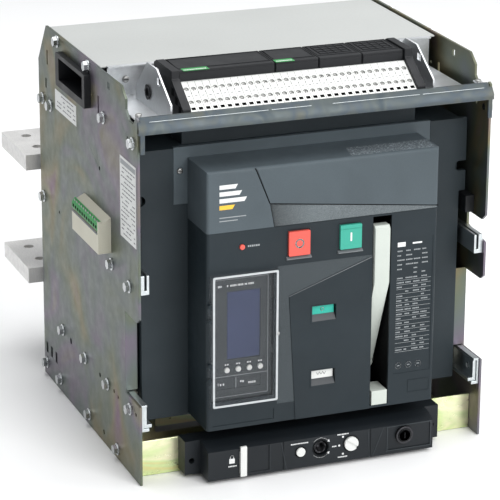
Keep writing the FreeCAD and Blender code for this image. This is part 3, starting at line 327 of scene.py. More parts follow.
class Piece:
    """Faces in millimetres, each with one of the piece's materials."""

    def __init__(self):
        self.points = []
        self.faces = []
        self.looks = []
        self.materials = []

    def face(self, corners, material):
        """One polygon with corners of its own."""
        start = len(self.points)
        self.points += corners
        if material not in self.materials:
            self.materials.append(material)
        self.faces.append(tuple(range(start, start + len(corners))))
        self.looks.append(self.materials.index(material))

    def solid(self, axis, rings, material):
        """Skins a stack of (outline, position along axis) rings; outlines share their corner count."""
        place = AXES[axis]
        for (lower, low), (upper, high) in zip(rings, rings[1:]):
            for index in range(len(lower)):
                after = (index + 1) % len(lower)
                quad = [place(*lower[index], low), place(*lower[after], low), place(*upper[after], high),
                        place(*upper[index], high)]
                self.face(quad, material)
        self.face([place(*corner, rings[0][1]) for corner in reversed(rings[0][0])], material)
        self.face([place(*corner, rings[-1][1]) for corner in rings[-1][0]], material)

    def slab(self, axis, outline, low, high, material):
        """An outline raised from low to high along the axis."""
        self.solid(axis, [(outline, low), (outline, high)], material)

    def block(self, x, depth, z, material):
        """A box from (low, high) pairs."""
        self.slab("z", rectangle((x[0], depth[0]), (x[1], depth[1])), z[0], z[1], material)

    def border(self, axis, outer, inner, low, high, material):
        """A flat frame between two outlines with the same corner count."""
        for index in range(len(outer)):
            after = (index + 1) % len(outer)
            self.slab(axis, [outer[index], outer[after], inner[after], inner[index]], low, high, material)

    def dashes(self, generator, across, heights, depths, lengths, gap, material):
        """A row of strokes of random length, facing the front, that stands for print."""
        start, end = across
        while start < end:
            length = generator.uniform(*lengths)
            self.slab("y", rectangle((start, heights[0]), (start + length, heights[1])), *depths, material)
            start += length + gap

    def washer(self, axis, centre, outer, inner, low, high, material, start=0.0, end=360.0, steps=40):
        """A flat ring or an arc of one."""
        place = AXES[axis]
        whole = end - start >= 360.0
        count = steps if whole else max(3, int(steps * (end - start) / 360.0))
        turn = [math.radians(start + (end - start) * index / count) for index in range(count + 1)]
        for step, (first, second) in enumerate(zip(turn, turn[1:])):
            corners = []
            for radius, angle in ((inner, first), (outer, first), (outer, second), (inner, second)):
                corners.append((centre[0] + radius * math.cos(angle), centre[1] + radius * math.sin(angle)))
            for at in (low, high):
                self.face([place(*corner, at) for corner in corners], material)
            walls = [(1, 2), (3, 0)]
            if not whole and step == 0:
                walls.append((0, 1))
            if not whole and step == count - 1:
                walls.append((2, 3))
            for one, two in walls:
                quad = [place(*corners[one], low), place(*corners[two], low), place(*corners[two], high),
                        place(*corners[one], high)]
                self.face(quad, material)

    def disc(self, axis, centre, rings, material, sides=32):
        """A turned piece from (radius, position) rings."""
        self.solid(axis, [(circle(centre, radius, sides), at) for radius, at in rings], material)

    def make(self, name, body, bevel=0.0, smooth=True):
        """Turns the faces into an object in metres that rides on a body."""
        mesh = bpy.data.meshes.new(name)
        points = [(x / 1000, FRONT + depth / 1000, z / 1000) for x, depth, z in self.points]
        mesh.from_pydata(points, [], self.faces)
        for material in self.materials:
            mesh.materials.append(material)
        mesh.polygons.foreach_set("material_index", self.looks)
        thing = bpy.data.objects.new(name, mesh)
        scene.collection.objects.link(thing)
        finish_edges(thing, bevel, smooth)
        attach(thing, body)
        return thing


def circle(centre, radius, sides):
    return [(centre[0] + radius * math.cos(2 * math.pi * index / sides),
             centre[1] + radius * math.sin(2 * math.pi * index / sides)) for index in range(sides)]


def rectangle(low, high):
    return [(low[0], low[1]), (high[0], low[1]), (high[0], high[1]), (low[0], high[1])]


def rounded_rectangle(low, high, radius):
    steps = 5
    corners = [((high[0] - radius, low[1] + radius), -90), ((high[0] - radius, high[1] - radius), 0),
               ((low[0] + radius, high[1] - radius), 90), ((low[0] + radius, low[1] + radius), 180)]
    outline = []
    for (across, up), start in corners:
        for index in range(steps + 1):
            angle = math.radians(start + 90 * index / steps)
            outline.append((across + radius * math.cos(angle), up + radius * math.sin(angle)))
    return outline


def finish_edges(thing, bevel, smooth=True):
    """Joins split corners, rounds the sharp edges a little and shades by face area."""
    weld = thing.modifiers.new("join", "WELD")
    weld.merge_threshold = 0.000005
    if bevel:
        edge = thing.modifiers.new("edges", "BEVEL")
        edge.width = bevel / 1000
        edge.segments = 2
        edge.limit_method = "ANGLE"
        edge.angle_limit = math.radians(40)
        edge.harden_normals = False
    if smooth:
        for polygon in thing.data.polygons:
            polygon.use_smooth = True
        shade = thing.modifiers.new("shade", "WEIGHTED_NORMAL")
        shade.keep_sharp = True


# ---------------------------------------------------------------- CAD nodes

# Width in millimetres of each node's softened edges.
SOFT_EDGES = {
    "lower_front_cover": 0.7, "upper_front_cover": 0.7, "back_frame": 0.5, "side_wings": 0.6,
    "pole_case": 1.2, "racking_housing": 0.8, "control_modules": 1.0, "strip_end_caps": 0.8,
    "lifting_grips": 0.8, "top_cover": 0.6, "rear_insulating_base": 1.5, "charging_handle": 1.8,
    "handle_stop_block": 0.8, "off_button": 0.9, "on_button": 0.9, "left_side_plate": 0.35,
    "right_side_plate": 0.35, "base_pan": 0.8, "top_front_rail": 0.5, "terminal_shelf": 0.4,
    "guide_channels": 0.5, "stop_blocks": 0.8, "padlock_tab": 0.6, "trip_window": 0.5, "trip_unit": 0.5,
    "plate_bolts": 0.4, "position_block": 0.6, "position_plug": 0.3, "left_extension_rail": 0.5,
    "right_extension_rail": 0.5, "key_lock_ring": 0.5, "position_knob": 0.5, "safety_shutter": 0.4,
    "racking_carriage": 0.8, "secondary_contacts": 0.8,
}
# Nodes whose look differs from the rest of their material slot.
OWN_LOOKS = {
    # The racking screw is darkened as painted shade, because it sits at the bottom of the crank hole.
    "racking_screw": DARK_STEEL_AND_HOLE_SHADE, "key_lock_ring": DARK_STEEL_AND_HOLE_SHADE, "guide_channels": GUIDE_ZINC_AND_HIGHLIGHT,
    "left_extension_rail": GUIDE_ZINC_AND_HIGHLIGHT, "right_extension_rail": GUIDE_ZINC_AND_HIGHLIGHT,
}
# Drilled flat bars keep crisp corners.
FLAT_BARS = ("upper_terminals", "lower_terminals")
SLOT_OF = {row["node"]: row["material_slot"] for row in frame["record"]["subparts"]}


def dress_cad():
    """Gives every CAD node its look and its softened edges."""
    for label, thing in NODES.items():
        look = OWN_LOOKS.get(label, LOOKS[SLOT_OF[label]])
        for slot in thing.material_slots:
            slot.material = look
        if not thing.material_slots:
            thing.data.materials.append(look)
        if label in FLAT_BARS:
            thing.data.shade_flat()
        else:
            finish_edges(thing, SOFT_EDGES.get(label, 0.0))


# ---------------------------------------------------------------- breaker front

# Depths of the lower front cover's face and of the raised panel on it.
COVER = -20.4
PANEL = COVER - 1.0


def upper_cover_details():
    """Speckled wedge under the flap, a painted shadow along the flap's seam, neutral bars and the sticker on
    top.
    """
    wedge = Piece()
    foot, corner, radius = 305.5, 139.0, 3.72
    path = [(-66.4, COVER + 0.25), (20.0, COVER + 0.25), (corner, COVER + 0.25)]
    for angle in (18, 36, 54, 72, 90):
        turn = math.radians(angle)
        path.append((corner + radius * math.sin(turn), COVER + 4 - radius * math.cos(turn)))
    back = [(x - (0.8 if x > corner else 0), depth + 0.8) for x, depth in path]

    def top(x):
        """Height of the flap's sloping lower edge."""
        return 332.6 - (min(x, 143.0) + 67) * (332.6 - 307.4) / 211.0

    rows = []
    for (x, depth), (x_in, depth_in) in zip(path, back):
        at_end = x < -66
        left = -61.3 if at_end else x
        rows.append([(left, depth, foot), (x, depth, top(x)), (x_in, depth_in, top(x)),
                     (left if at_end else x_in, depth_in, foot)])
    for first, second in zip(rows, rows[1:]):
        for index in range(4):
            after = (index + 1) % 4
            wedge.face([first[index], first[after], second[after], second[index]], SPECKLE)
    wedge.face(rows[0], SPECKLE)
    wedge.face(rows[-1], SPECKLE)
    wedge.make("speckled_wedge", "breaker")

    # Painted shadow: dark strips down the flap's left seam and along its lower edge, where the raised flap
    # stands over the wedge.
    flap_shadow = Piece()
    for outline in ([(-67.9, 334.2), (-66.6, 332.8), (143.0, 307.5), (143.0, 308.6)],
                    [(-85.4, 377.0), (-84.2, 377.0), (-66.6, 334.0), (-67.9, 334.0)]):
        flap_shadow.slab("y", outline, COVER - 0.05, COVER + 0.9, SHADOW_GAP)
    flap_shadow.make("flap_shadow_line", "breaker")

    emblem = Piece()
    face = COVER - 0.28
    for low, high, look in (((-128, 332.5), (-112.5, 337.5), AMBER), ((-128, 340.5), (-98, 345.5), MARKS),
                            ((-128, 348.5), (-104, 353.5), MARKS), ((-128, 356.5), (-109, 361.5), MARKS)):
        emblem.slab("y", [(low[0], low[1]), (high[0], low[1]), (high[0] + 3, high[1]), (low[0], high[1])],
                    face, COVER, look)
    for low, high in (((-128, 322.5), (-96, 323.6)), ((-128, 318.5), (-106, 319.6))):
        emblem.slab("y", rectangle(low, high), face, COVER, FAINT)
    emblem.make("emblem_bars", "breaker")

    sticker = Piece()
    sticker.slab("z", [(34, -15.4), (140, -15.4), (142, 14.5), (40, 14.5)], 377.9, 378.15, STICKER)
    sticker.make("top_sticker", "breaker")


def button_details():
    """O and I symbols, the ledge and rim of each button, and the marks beside the reset button."""
    for label in ("off_button", "on_button"):
        low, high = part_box(label)
        face = (low.y - FRONT) * 1000
        across = (low.x + high.x) * 500
        height = (low.z + high.z) * 500
        symbol = Piece()
        if label == "off_button":
            symbol.washer("y", (across, height), 5.6, 3.9, face - 0.22, face + 0.3, MARKS)
        else:
            bar = rounded_rectangle((across - 1.0, height - 5.2), (across + 1.0, height + 5.2), 0.4)
            symbol.slab("y", bar, face - 0.22, face + 0.3, MARKS)
            symbol.block((across - 13, across + 13), (face - 0.5, face + 0.3), (height + 9.5, height + 10.1),
                         LOOKS["teal_plastic"])
        symbol.make(label + "_symbol", label)
        ledge = Piece()
        wide = 15.4
        profile = [(COVER + 0.6, 263.4), (COVER - 3.4, 264.2), (COVER - 3.6, 265.2), (COVER + 0.6, 267.6)]
        ledge.slab("x", profile, across - wide, across + wide, LEDGE_GREY_AND_HIGHLIGHT)
        ledge.make(label + "_ledge", "breaker", 0.3)
        rim = Piece()
        outer = rectangle((across - 14.6, 267.4), (across + 14.6, 299.6))
        inner = rectangle((across - 13.5, 268.2), (across + 13.5, 298.6))
        rim.border("y", outer, inner, COVER - 0.35, COVER + 2, BADGE)
        rim.make(label + "_rim", "breaker")
    marks = Piece()
    marks.dashes(random.Random(7), (-93.5, -80), (284.9, 287.1), (COVER - 0.12, COVER + 0.1), (1.2, 2.6), 0.8,
                 FAINT)
    marks.make("reset_marks", "breaker")


def indicator_details():
    """Window frames with a sloping sill, and the two-coloured cards of both flags."""
    for label, low in (("state", 184.0), ("spring", 104.0)):
        sill = Piece()
        profile = [(PANEL - 0.1, low - 1.2), (PANEL - 0.1, low + 0.4), (COVER + 3.4, low + 7.4),
                   (COVER + 3.4, low + 0.2)]
        sill.slab("x", profile, -13.9, 15.9, SILL_GREY)
        sill.make(label + "_sill", "breaker", 0.3)
        surround = Piece()
        outer = rectangle((-15.6, low - 1.8), (17.6, low + 20.4))
        inner = rectangle((-14.0, low), (16.0, low + 19.0))
        surround.border("y", outer, inner, PANEL - 0.35, PANEL + 0.2, LOOKS["cover_plastic"])
        surround.make(label + "_window_frame", "breaker")
    spring_amber = printed("spring_flag_amber", (0.82, 0.55, 0.05))
    flags = (("contact_indicator", 186.0, LOOKS["green_flag"], LOOKS["red_plastic"]),
             ("spring_indicator", 106.0, LOOKS["white_plastic"], spring_amber))
    for body, low, shown, hidden in flags:
        depth = (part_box(body)[0].y - FRONT) * 1000
        for name, start, end, look in (("shown", -14.4, 14.8, shown), ("hidden", -43.6, -14.6, hidden)):
            card = Piece()
            card.slab("y", rectangle((start, low + 0.3), (end, low + 15.7)), depth - 0.3, depth + 0.1, look)
            middle = (start + end) / 2
            marks = (depth - 0.42, depth - 0.2)
            if body == "spring_indicator":
                coil = [(middle - 6 + 2 * step, low + (9.4 if step % 2 else 12.8)) for step in range(7)]
                for (x0, z0), (x1, z1) in zip(coil, coil[1:]):
                    turn = [(x0 - 0.3, z0), (x0 + 0.3, z0), (x1 + 0.3, z1), (x1 - 0.3, z1)]
                    card.slab("y", turn, *marks, INK)
            elif name == "shown":
                card.washer("y", (middle, low + 11), 2.3, 1.5, *marks, MARKS)
            else:
                card.slab("y", rectangle((middle - 0.5, low + 8.6), (middle + 0.5, low + 13.4)), *marks, MARKS)
            card.make(body + "_" + name, body)


def rating_marks():
    """Printed table with no words: rules and short bars in columns."""
    generator = random.Random(11)
    face = COVER + 0.5
    print_layer = (face - 0.1, face + 0.1)
    table = Piece()
    for x0, x1, z0, z1 in ((93, 103, 262, 267.5), (112, 124, 264, 266)):
        table.slab("y", rectangle((x0, z0), (x1, z1)), *print_layer, MARKS)
    height = 256.0
    while height > 128:
        for column, share in ((93.0, 0.85), (104.0, 0.6), (114.0, 0.85), (124.5, 0.85)):
            if generator.random() < share:
                length = generator.uniform(3.2, 8.5)
                table.dashes(generator, (column, column + length), (height, height + 1.5), print_layer,
                             (0.7, 1.5), 0.45, FAINT)
        if height < 224:
            table.slab("y", rectangle((92.5, height - 2.0), (136.5, height - 1.65)), *print_layer, FAINT)
        height -= 5.6
    for centre in (97.5, 110.5, 123.0):
        table.washer("y", (centre, 113.5), 4.0, 3.3, *print_layer, FAINT)
        table.slab("y", rectangle((centre - 1.6, 113.1), (centre + 1.6, 113.9)), *print_layer, FAINT)
    table.make("rating_marks", "breaker")
    outline = Piece()
    outline.border("y", rectangle((110, 78), (138, 94)), rectangle((110.8, 78.8), (137.2, 93.2)), COVER - 0.4,
                   COVER + 0.1, LOOKS["cover_plastic"])
    outline.make("seal_frame", "breaker")


def panel_details():
    """Speckled field beside the trip unit, a painted highlight along the raised panel's edge and painted shade
    lining the handle's well.
    """
    plate = Piece()
    outline = [(-56.4, 88), (-34.9, 88), (-43.0, 219.3), (60.6, 255.6), (60.6, 257.2), (-56.4, 257.2)]
    plate.slab("y", outline, COVER - 0.3, COVER + 0.2, DARK_SPECKLE)
    plate.make("speckled_field", "breaker")
    # Painted highlight: a light grey strip along the raised panel's sloping edge.
    edge_highlight = Piece()
    edge_highlight.slab("y", [(-43.0, 219.0), (-42.2, 218.8), (61.0, 254.6), (61.0, 255.5)], PANEL - 0.12, PANEL + 0.2,
              LEDGE_GREY_AND_HIGHLIGHT)
    edge_highlight.make("panel_highlight", "breaker")
    # Painted shade: near-black sheets lining the back, sides and top of the handle's well.
    well = Piece()
    left, right, low, high = 60.4, 85.2, 67.0, 303.6
    shade_thickness, deep = 0.6, (-17.3, 40)
    for x, depth, z in (((left, right), (39, 40), (low, high)),
                        ((left - shade_thickness, left), deep, (low, high)),
                        ((right, right + shade_thickness), deep, (low, high)),
                        ((left, right), deep, (high, high + shade_thickness))):
        well.block(x, depth, z, SHADOW_GAP)
    well.make("handle_well_shade", "breaker")


def unit_details():
    """Print and display of the trip unit, the catch of its window and a painted highlight round the window's
    rim.
    """
    face = -16.0
    flush = (face - 0.2, face + 0.1)
    raised = (face + 0.8, face + 1.05)
    panel = Piece()
    panel.border("y", rectangle((-132.5, 103.5), (-66.5, 247.5)), rectangle((-132.0, 104.0), (-67.0, 247.0)),
                 *flush, FAINT)
    panel.slab("y", rectangle((-132, 128.6), (-67, 129.1)), *flush, FAINT)
    generator = random.Random(3)
    for across in ((-128, -124), (-117, -115.5), (-113, -106), (-104, -97.5), (-95.5, -93.8), (-91, -85)):
        panel.dashes(generator, across, (238.2, 240.4), flush, (0.8, 1.6), 0.5, MARKS)
    for across in (-117, -103, -89.5, -76):
        for start in (-2.4, 0.4):
            panel.slab("y", rectangle((across + start, 142.4), (across + start + 1.7, 144.0)), *flush, MARKS)
    panel.slab("y", rectangle((-127.5, 117.6), (-127.0, 121)), *raised, MARKS)
    for across, height in ((-125.0, 117.6), (-121.5, 117.6), (-100, 119.0), (-97.4, 118.6), (-90, 116.2),
                           (-87.6, 116.2), (-85.2, 116.2), (-82.8, 116.2)):
        panel.slab("y", rectangle((across, height), (across + 1.6, height + 2.4)), *raised, MARKS)
    panel.slab("y", rectangle((-106, 113.4), (-105.3, 125.6)), face - 0.1, face + 1.05, FAINT)
    panel.make("unit_marks", "breaker")
    glass = Piece()
    glass.slab("y", rectangle((-116.4, 149.6), (-76.6, 231.4)), face + 0.5, face + 1.15, GLASS_DISPLAY)
    glass.make("unit_display", "breaker", 0.2)
    low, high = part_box("trip_window")
    top, bottom = high.z * 1000, low.z * 1000
    catch = Piece()
    catch.slab("y", rounded_rectangle((-59.4, 171.5), (-56.4, 184.5), 1.2), COVER - 6.9, COVER - 1.0,
               LOOKS["clear_window"])
    catch.disc("y", (-58.2, 178), [(1.6, COVER - 7.3), (2.0, COVER - 6.9), (2.0, COVER - 6.0)], SCREW)
    catch.make("window_catch", "trip_window", 0.3)
    # Painted highlight: a light grey translucent border stands for the light caught by the clear window's
    # edges.
    rim_highlight = Piece()
    inset = 2.4
    outer = rounded_rectangle((-138.0, bottom + 0.6), (-58.2, top - 0.6), 2.0)
    inner = rounded_rectangle((-138.0 + inset, bottom + 0.6 + inset), (-58.2 - inset, top - 0.6 - inset), 1.4)
    rim_highlight.border("y", outer, inner, COVER - 7.0, COVER - 6.4, RIM_HIGHLIGHT)
    rim_highlight.make("window_rim_highlight", "trip_window")


def cover_screws():
    heads = Piece()
    height = 363
    for across in (-152.5, 152.5):
        heads.disc("y", (across, height), [(3.4, 43.2), (3.4, 41.6), (2.6, 40.8), (1.5, 40.7)], SCREW)
        # Painted shade: a dark bar across each head stands for the screw slot.
        heads.slab("y", rectangle((across - 2.4, height - 0.35), (across + 2.4, height + 0.35)), 40.6, 41.0,
                   SHADOW_GAP)
    heads.make("frame_screws", "breaker")


# ---------------------------------------------------------------- racking unit

# Depth of the racking unit's face.
RACK = -25.0


def racking_details():
    """Turning arrows, dots, print, bezels and ridges on the racking unit, and the key lock's face."""
    marks = Piece()
    face = RACK - 0.15
    layer = (face, RACK + 0.2)
    hole = (-2.0, 25.7)
    for start, end in ((42, 138), (222, 318)):
        marks.washer("y", hole, 12.8, 11.9, *layer, MARKS, start, end, 90)
    for angle, lean in ((42, -1), (318, 1)):
        tip = math.radians(angle)
        centre = (hole[0] + 12.35 * math.cos(tip), hole[1] + 12.35 * math.sin(tip))
        heading = math.radians(angle + 90 * lean)
        ahead = (math.cos(heading), math.sin(heading))
        side = (-ahead[1], ahead[0])
        head = [(centre[0] + ahead[0] * 3.0, centre[1] + ahead[1] * 3.0),
                (centre[0] + side[0] * 1.7, centre[1] + side[1] * 1.7),
                (centre[0] - side[0] * 1.7, centre[1] - side[1] * 1.7)]
        marks.slab("y", head, *layer, MARKS)
    for centre in ((26.2, 35.4), (21.5, 24.9), (26.4, 13.7)):
        marks.disc("y", centre, [(1.3, RACK + 0.2), (1.3, face)], MARKS, 16)
    generator = random.Random(5)
    for start, end, height in ((19, 33, 38.0), (12.5, 18, 24.0), (20, 32, 9.2), (-40, -18, 34.3),
                               (-118, -108, 18.5)):
        marks.dashes(generator, (start, end), (height, height + 1.5), layer, (0.8, 1.6), 0.5, MARKS)
    marks.washer("y", (-113.6, 30.6), 2.4, 1.7, *layer, MARKS, 0, 180, 40)
    for side in (-2.4, 1.7):
        marks.slab("y", rectangle((-113.6 + side, 28.6), (-112.9 + side, 30.7)), *layer, MARKS)
    marks.slab("y", rectangle((-117.0, 22.8), (-110.2, 28.8)), *layer, MARKS)
    marks.make("racking_marks", "cradle")

    bezel = Piece()
    bezel.washer("y", hole, 10.6, 9.2, RACK - 0.5, RACK + 0.2, LOOKS["rack_plastic"])
    bezel.washer("y", (36.5, 25.7), 10.2, 9.0, RACK - 0.4, RACK + 0.2, LOOKS["rack_plastic"])
    bezel.washer("y", (-27.7, 24.2), 7.2, 6.1, RACK - 0.4, RACK + 0.2, LOOKS["rack_plastic"])
    bezel.make("racking_bezels", "cradle")

    ridges = Piece()
    for foot, head, width in (((-45.8, 4.2), (-52.7, 39.8), 0.9), ((60.0, 4.2), (57.8, 39.8), 0.7),
                              ((63.9, 4.2), (78.0, 39.8), 0.9), ((-66.5, 7.0), (-66.5, 39.2), 0.7)):
        ridges.slab("y", [(foot[0], foot[1]), (foot[0] + width, foot[1]), (head[0] + width, head[1]),
                          (head[0], head[1])], RACK - 0.35, RACK + 0.2, BADGE)
    ridges.border("y", rectangle((82.6, 8.0), (140.4, 39.6)), rectangle((83.8, 9.2), (139.2, 38.4)),
                  RACK - 0.5, RACK + 0.2, BADGE)
    ridges.make("racking_ridges", "cradle")

    cap = Piece()
    rings = [(8.3, RACK - 3.0), (8.3, RACK - 3.2), (7.0, RACK - 3.4)]
    cap.disc("y", (105, 26.7), rings, LOOKS["black_plastic"], 40)
    # Painted shade: a dark bar stands for the keyhole slot.
    cap.block((104.5, 105.5), (RACK - 3.48, RACK - 3.3), (23.5, 29.9), SHADOW_GAP)
    cap.make("lock_face", "key_lock_plug")


# ---------------------------------------------------------------- control terminals

def terminal_strip():
    """Sloping white strip: two rows of screw wells, a row of wire entries and thin cell lines, with painted
    shade on the well floors, in the wire entries and under the cell gaps.
    """
    low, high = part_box("control_terminal_strip")
    left, right = low.x * 1000 + 0.3, high.x * 1000 - 0.3
    start, rise = (9.2, 441.3), (37.4, 24.2)
    length = math.hypot(*rise)
    along = (rise[0] / length, rise[1] / length)
    normal = (-along[1], along[0])
    cells = 32
    pitch = (right - left) / cells
    sides = 20
    well = 3
    # The dark look here is painted shade: well floors, wire entries, the floor under the cell gaps and the
    # screw slots.
    white, dark = LOOKS["white_plastic"], SHADOW_GAP

    def at(x, s, lift):
        """Point on the slope: s along it from the front edge, lift out of it."""
        return (x, start[0] + along[0] * s + normal[0] * lift, start[1] + along[1] * s + normal[1] * lift)

    strip = Piece()
    for cell in range(cells):
        x0, x1 = left + cell * pitch + 0.25, left + (cell + 1) * pitch - 0.25
        middle = (x0 + x1) / 2
        for s0, s1, centre, radius in ((8.0, 20.0, 14.0, 3.1), (26.5, 40.5, 33.8, 3.1)):
            ring, edge = [], []
            for index in range(sides):
                angle = 2 * math.pi * (index + 0.5) / sides
                across, up = math.cos(angle), math.sin(angle)
                reach = min(((x1 - middle) / abs(across)) if abs(across) > 1e-9 else 1e9,
                            ((s1 - centre if up > 0 else centre - s0) / abs(up)) if abs(up) > 1e-9 else 1e9)
                ring.append((middle + radius * across, centre + radius * up))
                edge.append((middle + reach * across, centre + reach * up))
            for index in range(sides):
                after = (index + 1) % sides
                strip.face([at(*edge[index], 0), at(*edge[after], 0), at(*ring[after], 0), at(*ring[index], 0)],
                           white)
                strip.face([at(*ring[index], 0), at(*ring[after], 0), at(*ring[after], -well),
                            at(*ring[index], -well)], white)
            strip.face([at(*corner, -well) for corner in ring], dark)
            for corner in ((x1, s1), (x0, s1), (x0, s0), (x1, s0)):
                near = sorted(edge, key=lambda spot: (spot[0] - corner[0]) ** 2
                              + (spot[1] - corner[1]) ** 2)[:2]
                strip.face([at(*corner, 0), at(*near[0], 0), at(*near[1], 0)], white)
        for s0, s1 in ((0.0, 2.2), (6.2, 8.0), (20.0, 26.5), (40.5, length)):
            strip.face([at(x0, s0, 0), at(x1, s0, 0), at(x1, s1, 0), at(x0, s1, 0)], white)
        for xa, xb in ((x0, x0 + 1.6), (x1 - 1.6, x1)):
            strip.face([at(xa, 2.2, 0), at(xb, 2.2, 0), at(xb, 6.2, 0), at(xa, 6.2, 0)], white)
        slot = rectangle((x0 + 1.6, 2.2), (x1 - 1.6, 6.2))
        for index in range(4):
            after = (index + 1) % 4
            strip.face([at(*slot[index], 0), at(*slot[after], 0), at(*slot[after], -well),
                        at(*slot[index], -well)], dark)
        strip.face([at(*corner, -well) for corner in slot], dark)
        mark = rectangle((middle - 1.5, 22.4), (middle + 1.5, 23.5))
        strip.face([at(*corner, 0.06) for corner in mark], INK)
        for x in (x0, x1):
            strip.face([at(x, 0, 0), at(x, length, 0), at(x, length, -2.5), at(x, 0, -2.5)], white)
    front, floor = start[0], 428.6
    strip.face([(left, front, floor), (right, front, floor), (right, front, start[1] - 0.4),
                (left, front, start[1] - 0.4)], white)
    strip.face([at(left, 0, -2.4), at(right, 0, -2.4), at(right, length, -2.4), at(left, length, -2.4)], dark)
    for x in (left, right):
        strip.face([(x, front, floor), (x, 49.5, floor), (x, 49.5, 465.4), at(x, length, -0.2), at(x, 0, -0.2)],
                   white)
    strip.face([at(left, length, -0.2), at(right, length, -0.2), (right, 49.6, 465.5), (left, 49.6, 465.5)],
               white)
    body = strip.make("terminal_strip", "cradle", smooth=False)
    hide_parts("control_terminal_strip")

    screws = Piece()
    generator = random.Random(21)
    for cell in range(cells):
        middle = left + (cell + 0.5) * pitch
        for centre in (14.0, 33.8):
            turn = generator.uniform(0, math.pi)
            rim = [(middle + 2.5 * math.cos(a), centre + 2.5 * math.sin(a))
                   for a in (2 * math.pi * index / 18 for index in range(18))]
            for index in range(18):
                after = (index + 1) % 18
                screws.face([at(*rim[index], -2.9), at(*rim[after], -2.9), at(*rim[after], -1.5),
                             at(*rim[index], -1.5)], SCREW)
            screws.face([at(*spot, -1.5) for spot in rim], SCREW)
            # Painted shade: a dark bar on each screw head stands for its slot.
            cut = [(2.2, 0.35), (-2.2, 0.35), (-2.2, -0.35), (2.2, -0.35)]
            spun = [(middle + a * math.cos(turn) - b * math.sin(turn),
                     centre + a * math.sin(turn) + b * math.cos(turn)) for a, b in cut]
            screws.face([at(*spot, -1.44) for spot in spun], dark)
    screws.make("terminal_screws", "cradle", smooth=False)


def module_details():
    """Lids, grilles and labels on the plug-in modules, and painted shade for the pockets of the end caps."""
    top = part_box("control_modules")[1].z * 1000
    black = LOOKS["black_plastic"]
    edges = (-151, -34, 20, 74, 126)
    lids = Piece()
    for left, right in zip(edges, edges[1:]):
        outer = rectangle((left + 2.2, 58), (right - 2.2, 101))
        inner = rectangle((left + 3.3, 59.1), (right - 3.3, 99.9))
        lids.border("z", outer, inner, top - 0.2, top + 0.6, black)
    for left, right in ((28, 66), (82, 118)):
        for across in range(5):
            x = left + (right - left) * across / 4
            lids.block((x - 0.5, x + 0.5), (64, 96), (top - 0.1, top + 0.9), black)
        for depth in (66, 75, 84, 93):
            lids.block((left, right), (depth - 0.5, depth + 0.5), (top - 0.1, top + 0.8), black)
    for left, right in zip(edges, edges[1:]):
        lids.block((left + 1.2, right - 1.2), (49.4, 50.3), (468, 475), black)
    lids.make("module_lids", "cradle", 0.2)
    labels = Piece()
    for left, right in ((-146, -115), (-34, -11)):
        labels.block((left, right), (47, 58), (top - 0.1, top + 0.35), LOOKS["green_plastic"])
        generator = random.Random(left)
        across = left + 1.5
        while across < right - 3:
            stroke = generator.uniform(0.8, 1.8)
            labels.block((across, across + stroke), (49.4, 52.4), (top, top + 0.42), LABEL)
            across += stroke + 0.6
    labels.make("module_labels", "cradle")
    # Painted shade: dark sheets on the end caps stand for the pockets' hollows.
    pocket_shades = Piece()
    for depth, z in ((13, 444.5), (25, 452.5), (37, 460.0)):
        for side, face in ((-1, -161.0), (1, 136.0)):
            pocket_shades.block((face - 0.25, face + 0.25), (depth, depth + 8.5), (z - 7, z + 1.5), SHADOW_GAP)
    pocket_shades.make("cap_pocket_shades", "cradle")


def shelf_details():
    """Screws and cable grommet of the terminal shelf, with painted shade in the screw slots and the grommet's
    hole, and the clips of the front rail with a painted highlight along its fold.
    """
    screws = Piece()
    for x, z in ((-182, 447), (185, 445)):
        screws.disc("y", (x, z), [(4.2, 146.0), (4.2, 144.0), (3.2, 142.8), (1.6, 142.6)], SCREW, 24)
        # Painted shade: a dark bar across each head stands for the screw slot.
        screws.block((x - 2.8, x + 2.8), (142.4, 142.9), (z - 0.45, z + 0.45), SHADOW_GAP)
    screws.make("shelf_screws", "cradle")
    ring = Piece()
    ring.washer("x", (88, 446), 8.5, 4.6, -175.4, -171.0, LOOKS["black_plastic"])
    # Painted shade: a dark disc fills the grommet's hole.
    ring.disc("x", (88, 446), [(4.7, -174.6), (4.7, -173.8)], SHADOW_GAP)
    ring.make("cable_grommet", "cradle", 0.5)
    clips = Piece()
    for side in (-1, 1):
        clips.block((side * 211 - 4, side * 211 + 4), (8.5, 30), (437, 439), LOOKS["shelf_zinc"])
        clips.disc("z", (side * 209, 20), [(4.0, 439), (4.0, 441.5), (2.6, 442.5)], SCREW, 6)
    clips.make("rail_clips", "cradle", 0.3)
    # Painted highlight: a thin bright strip along the rail's fold line.
    fold_highlight = Piece()
    low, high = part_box("top_front_rail")
    front, top = (low.y - FRONT) * 1000, high.z * 1000
    for left, right in ((-205, -64), (-60, -12), (14, 122), (126, 204)):
        fold_highlight.block((left, right), (front + 0.05, front + 0.3), (top - 3.0, top - 2.6), GUIDE_ZINC_AND_HIGHLIGHT)
    fold_highlight.make("rail_fold_highlight", "cradle")


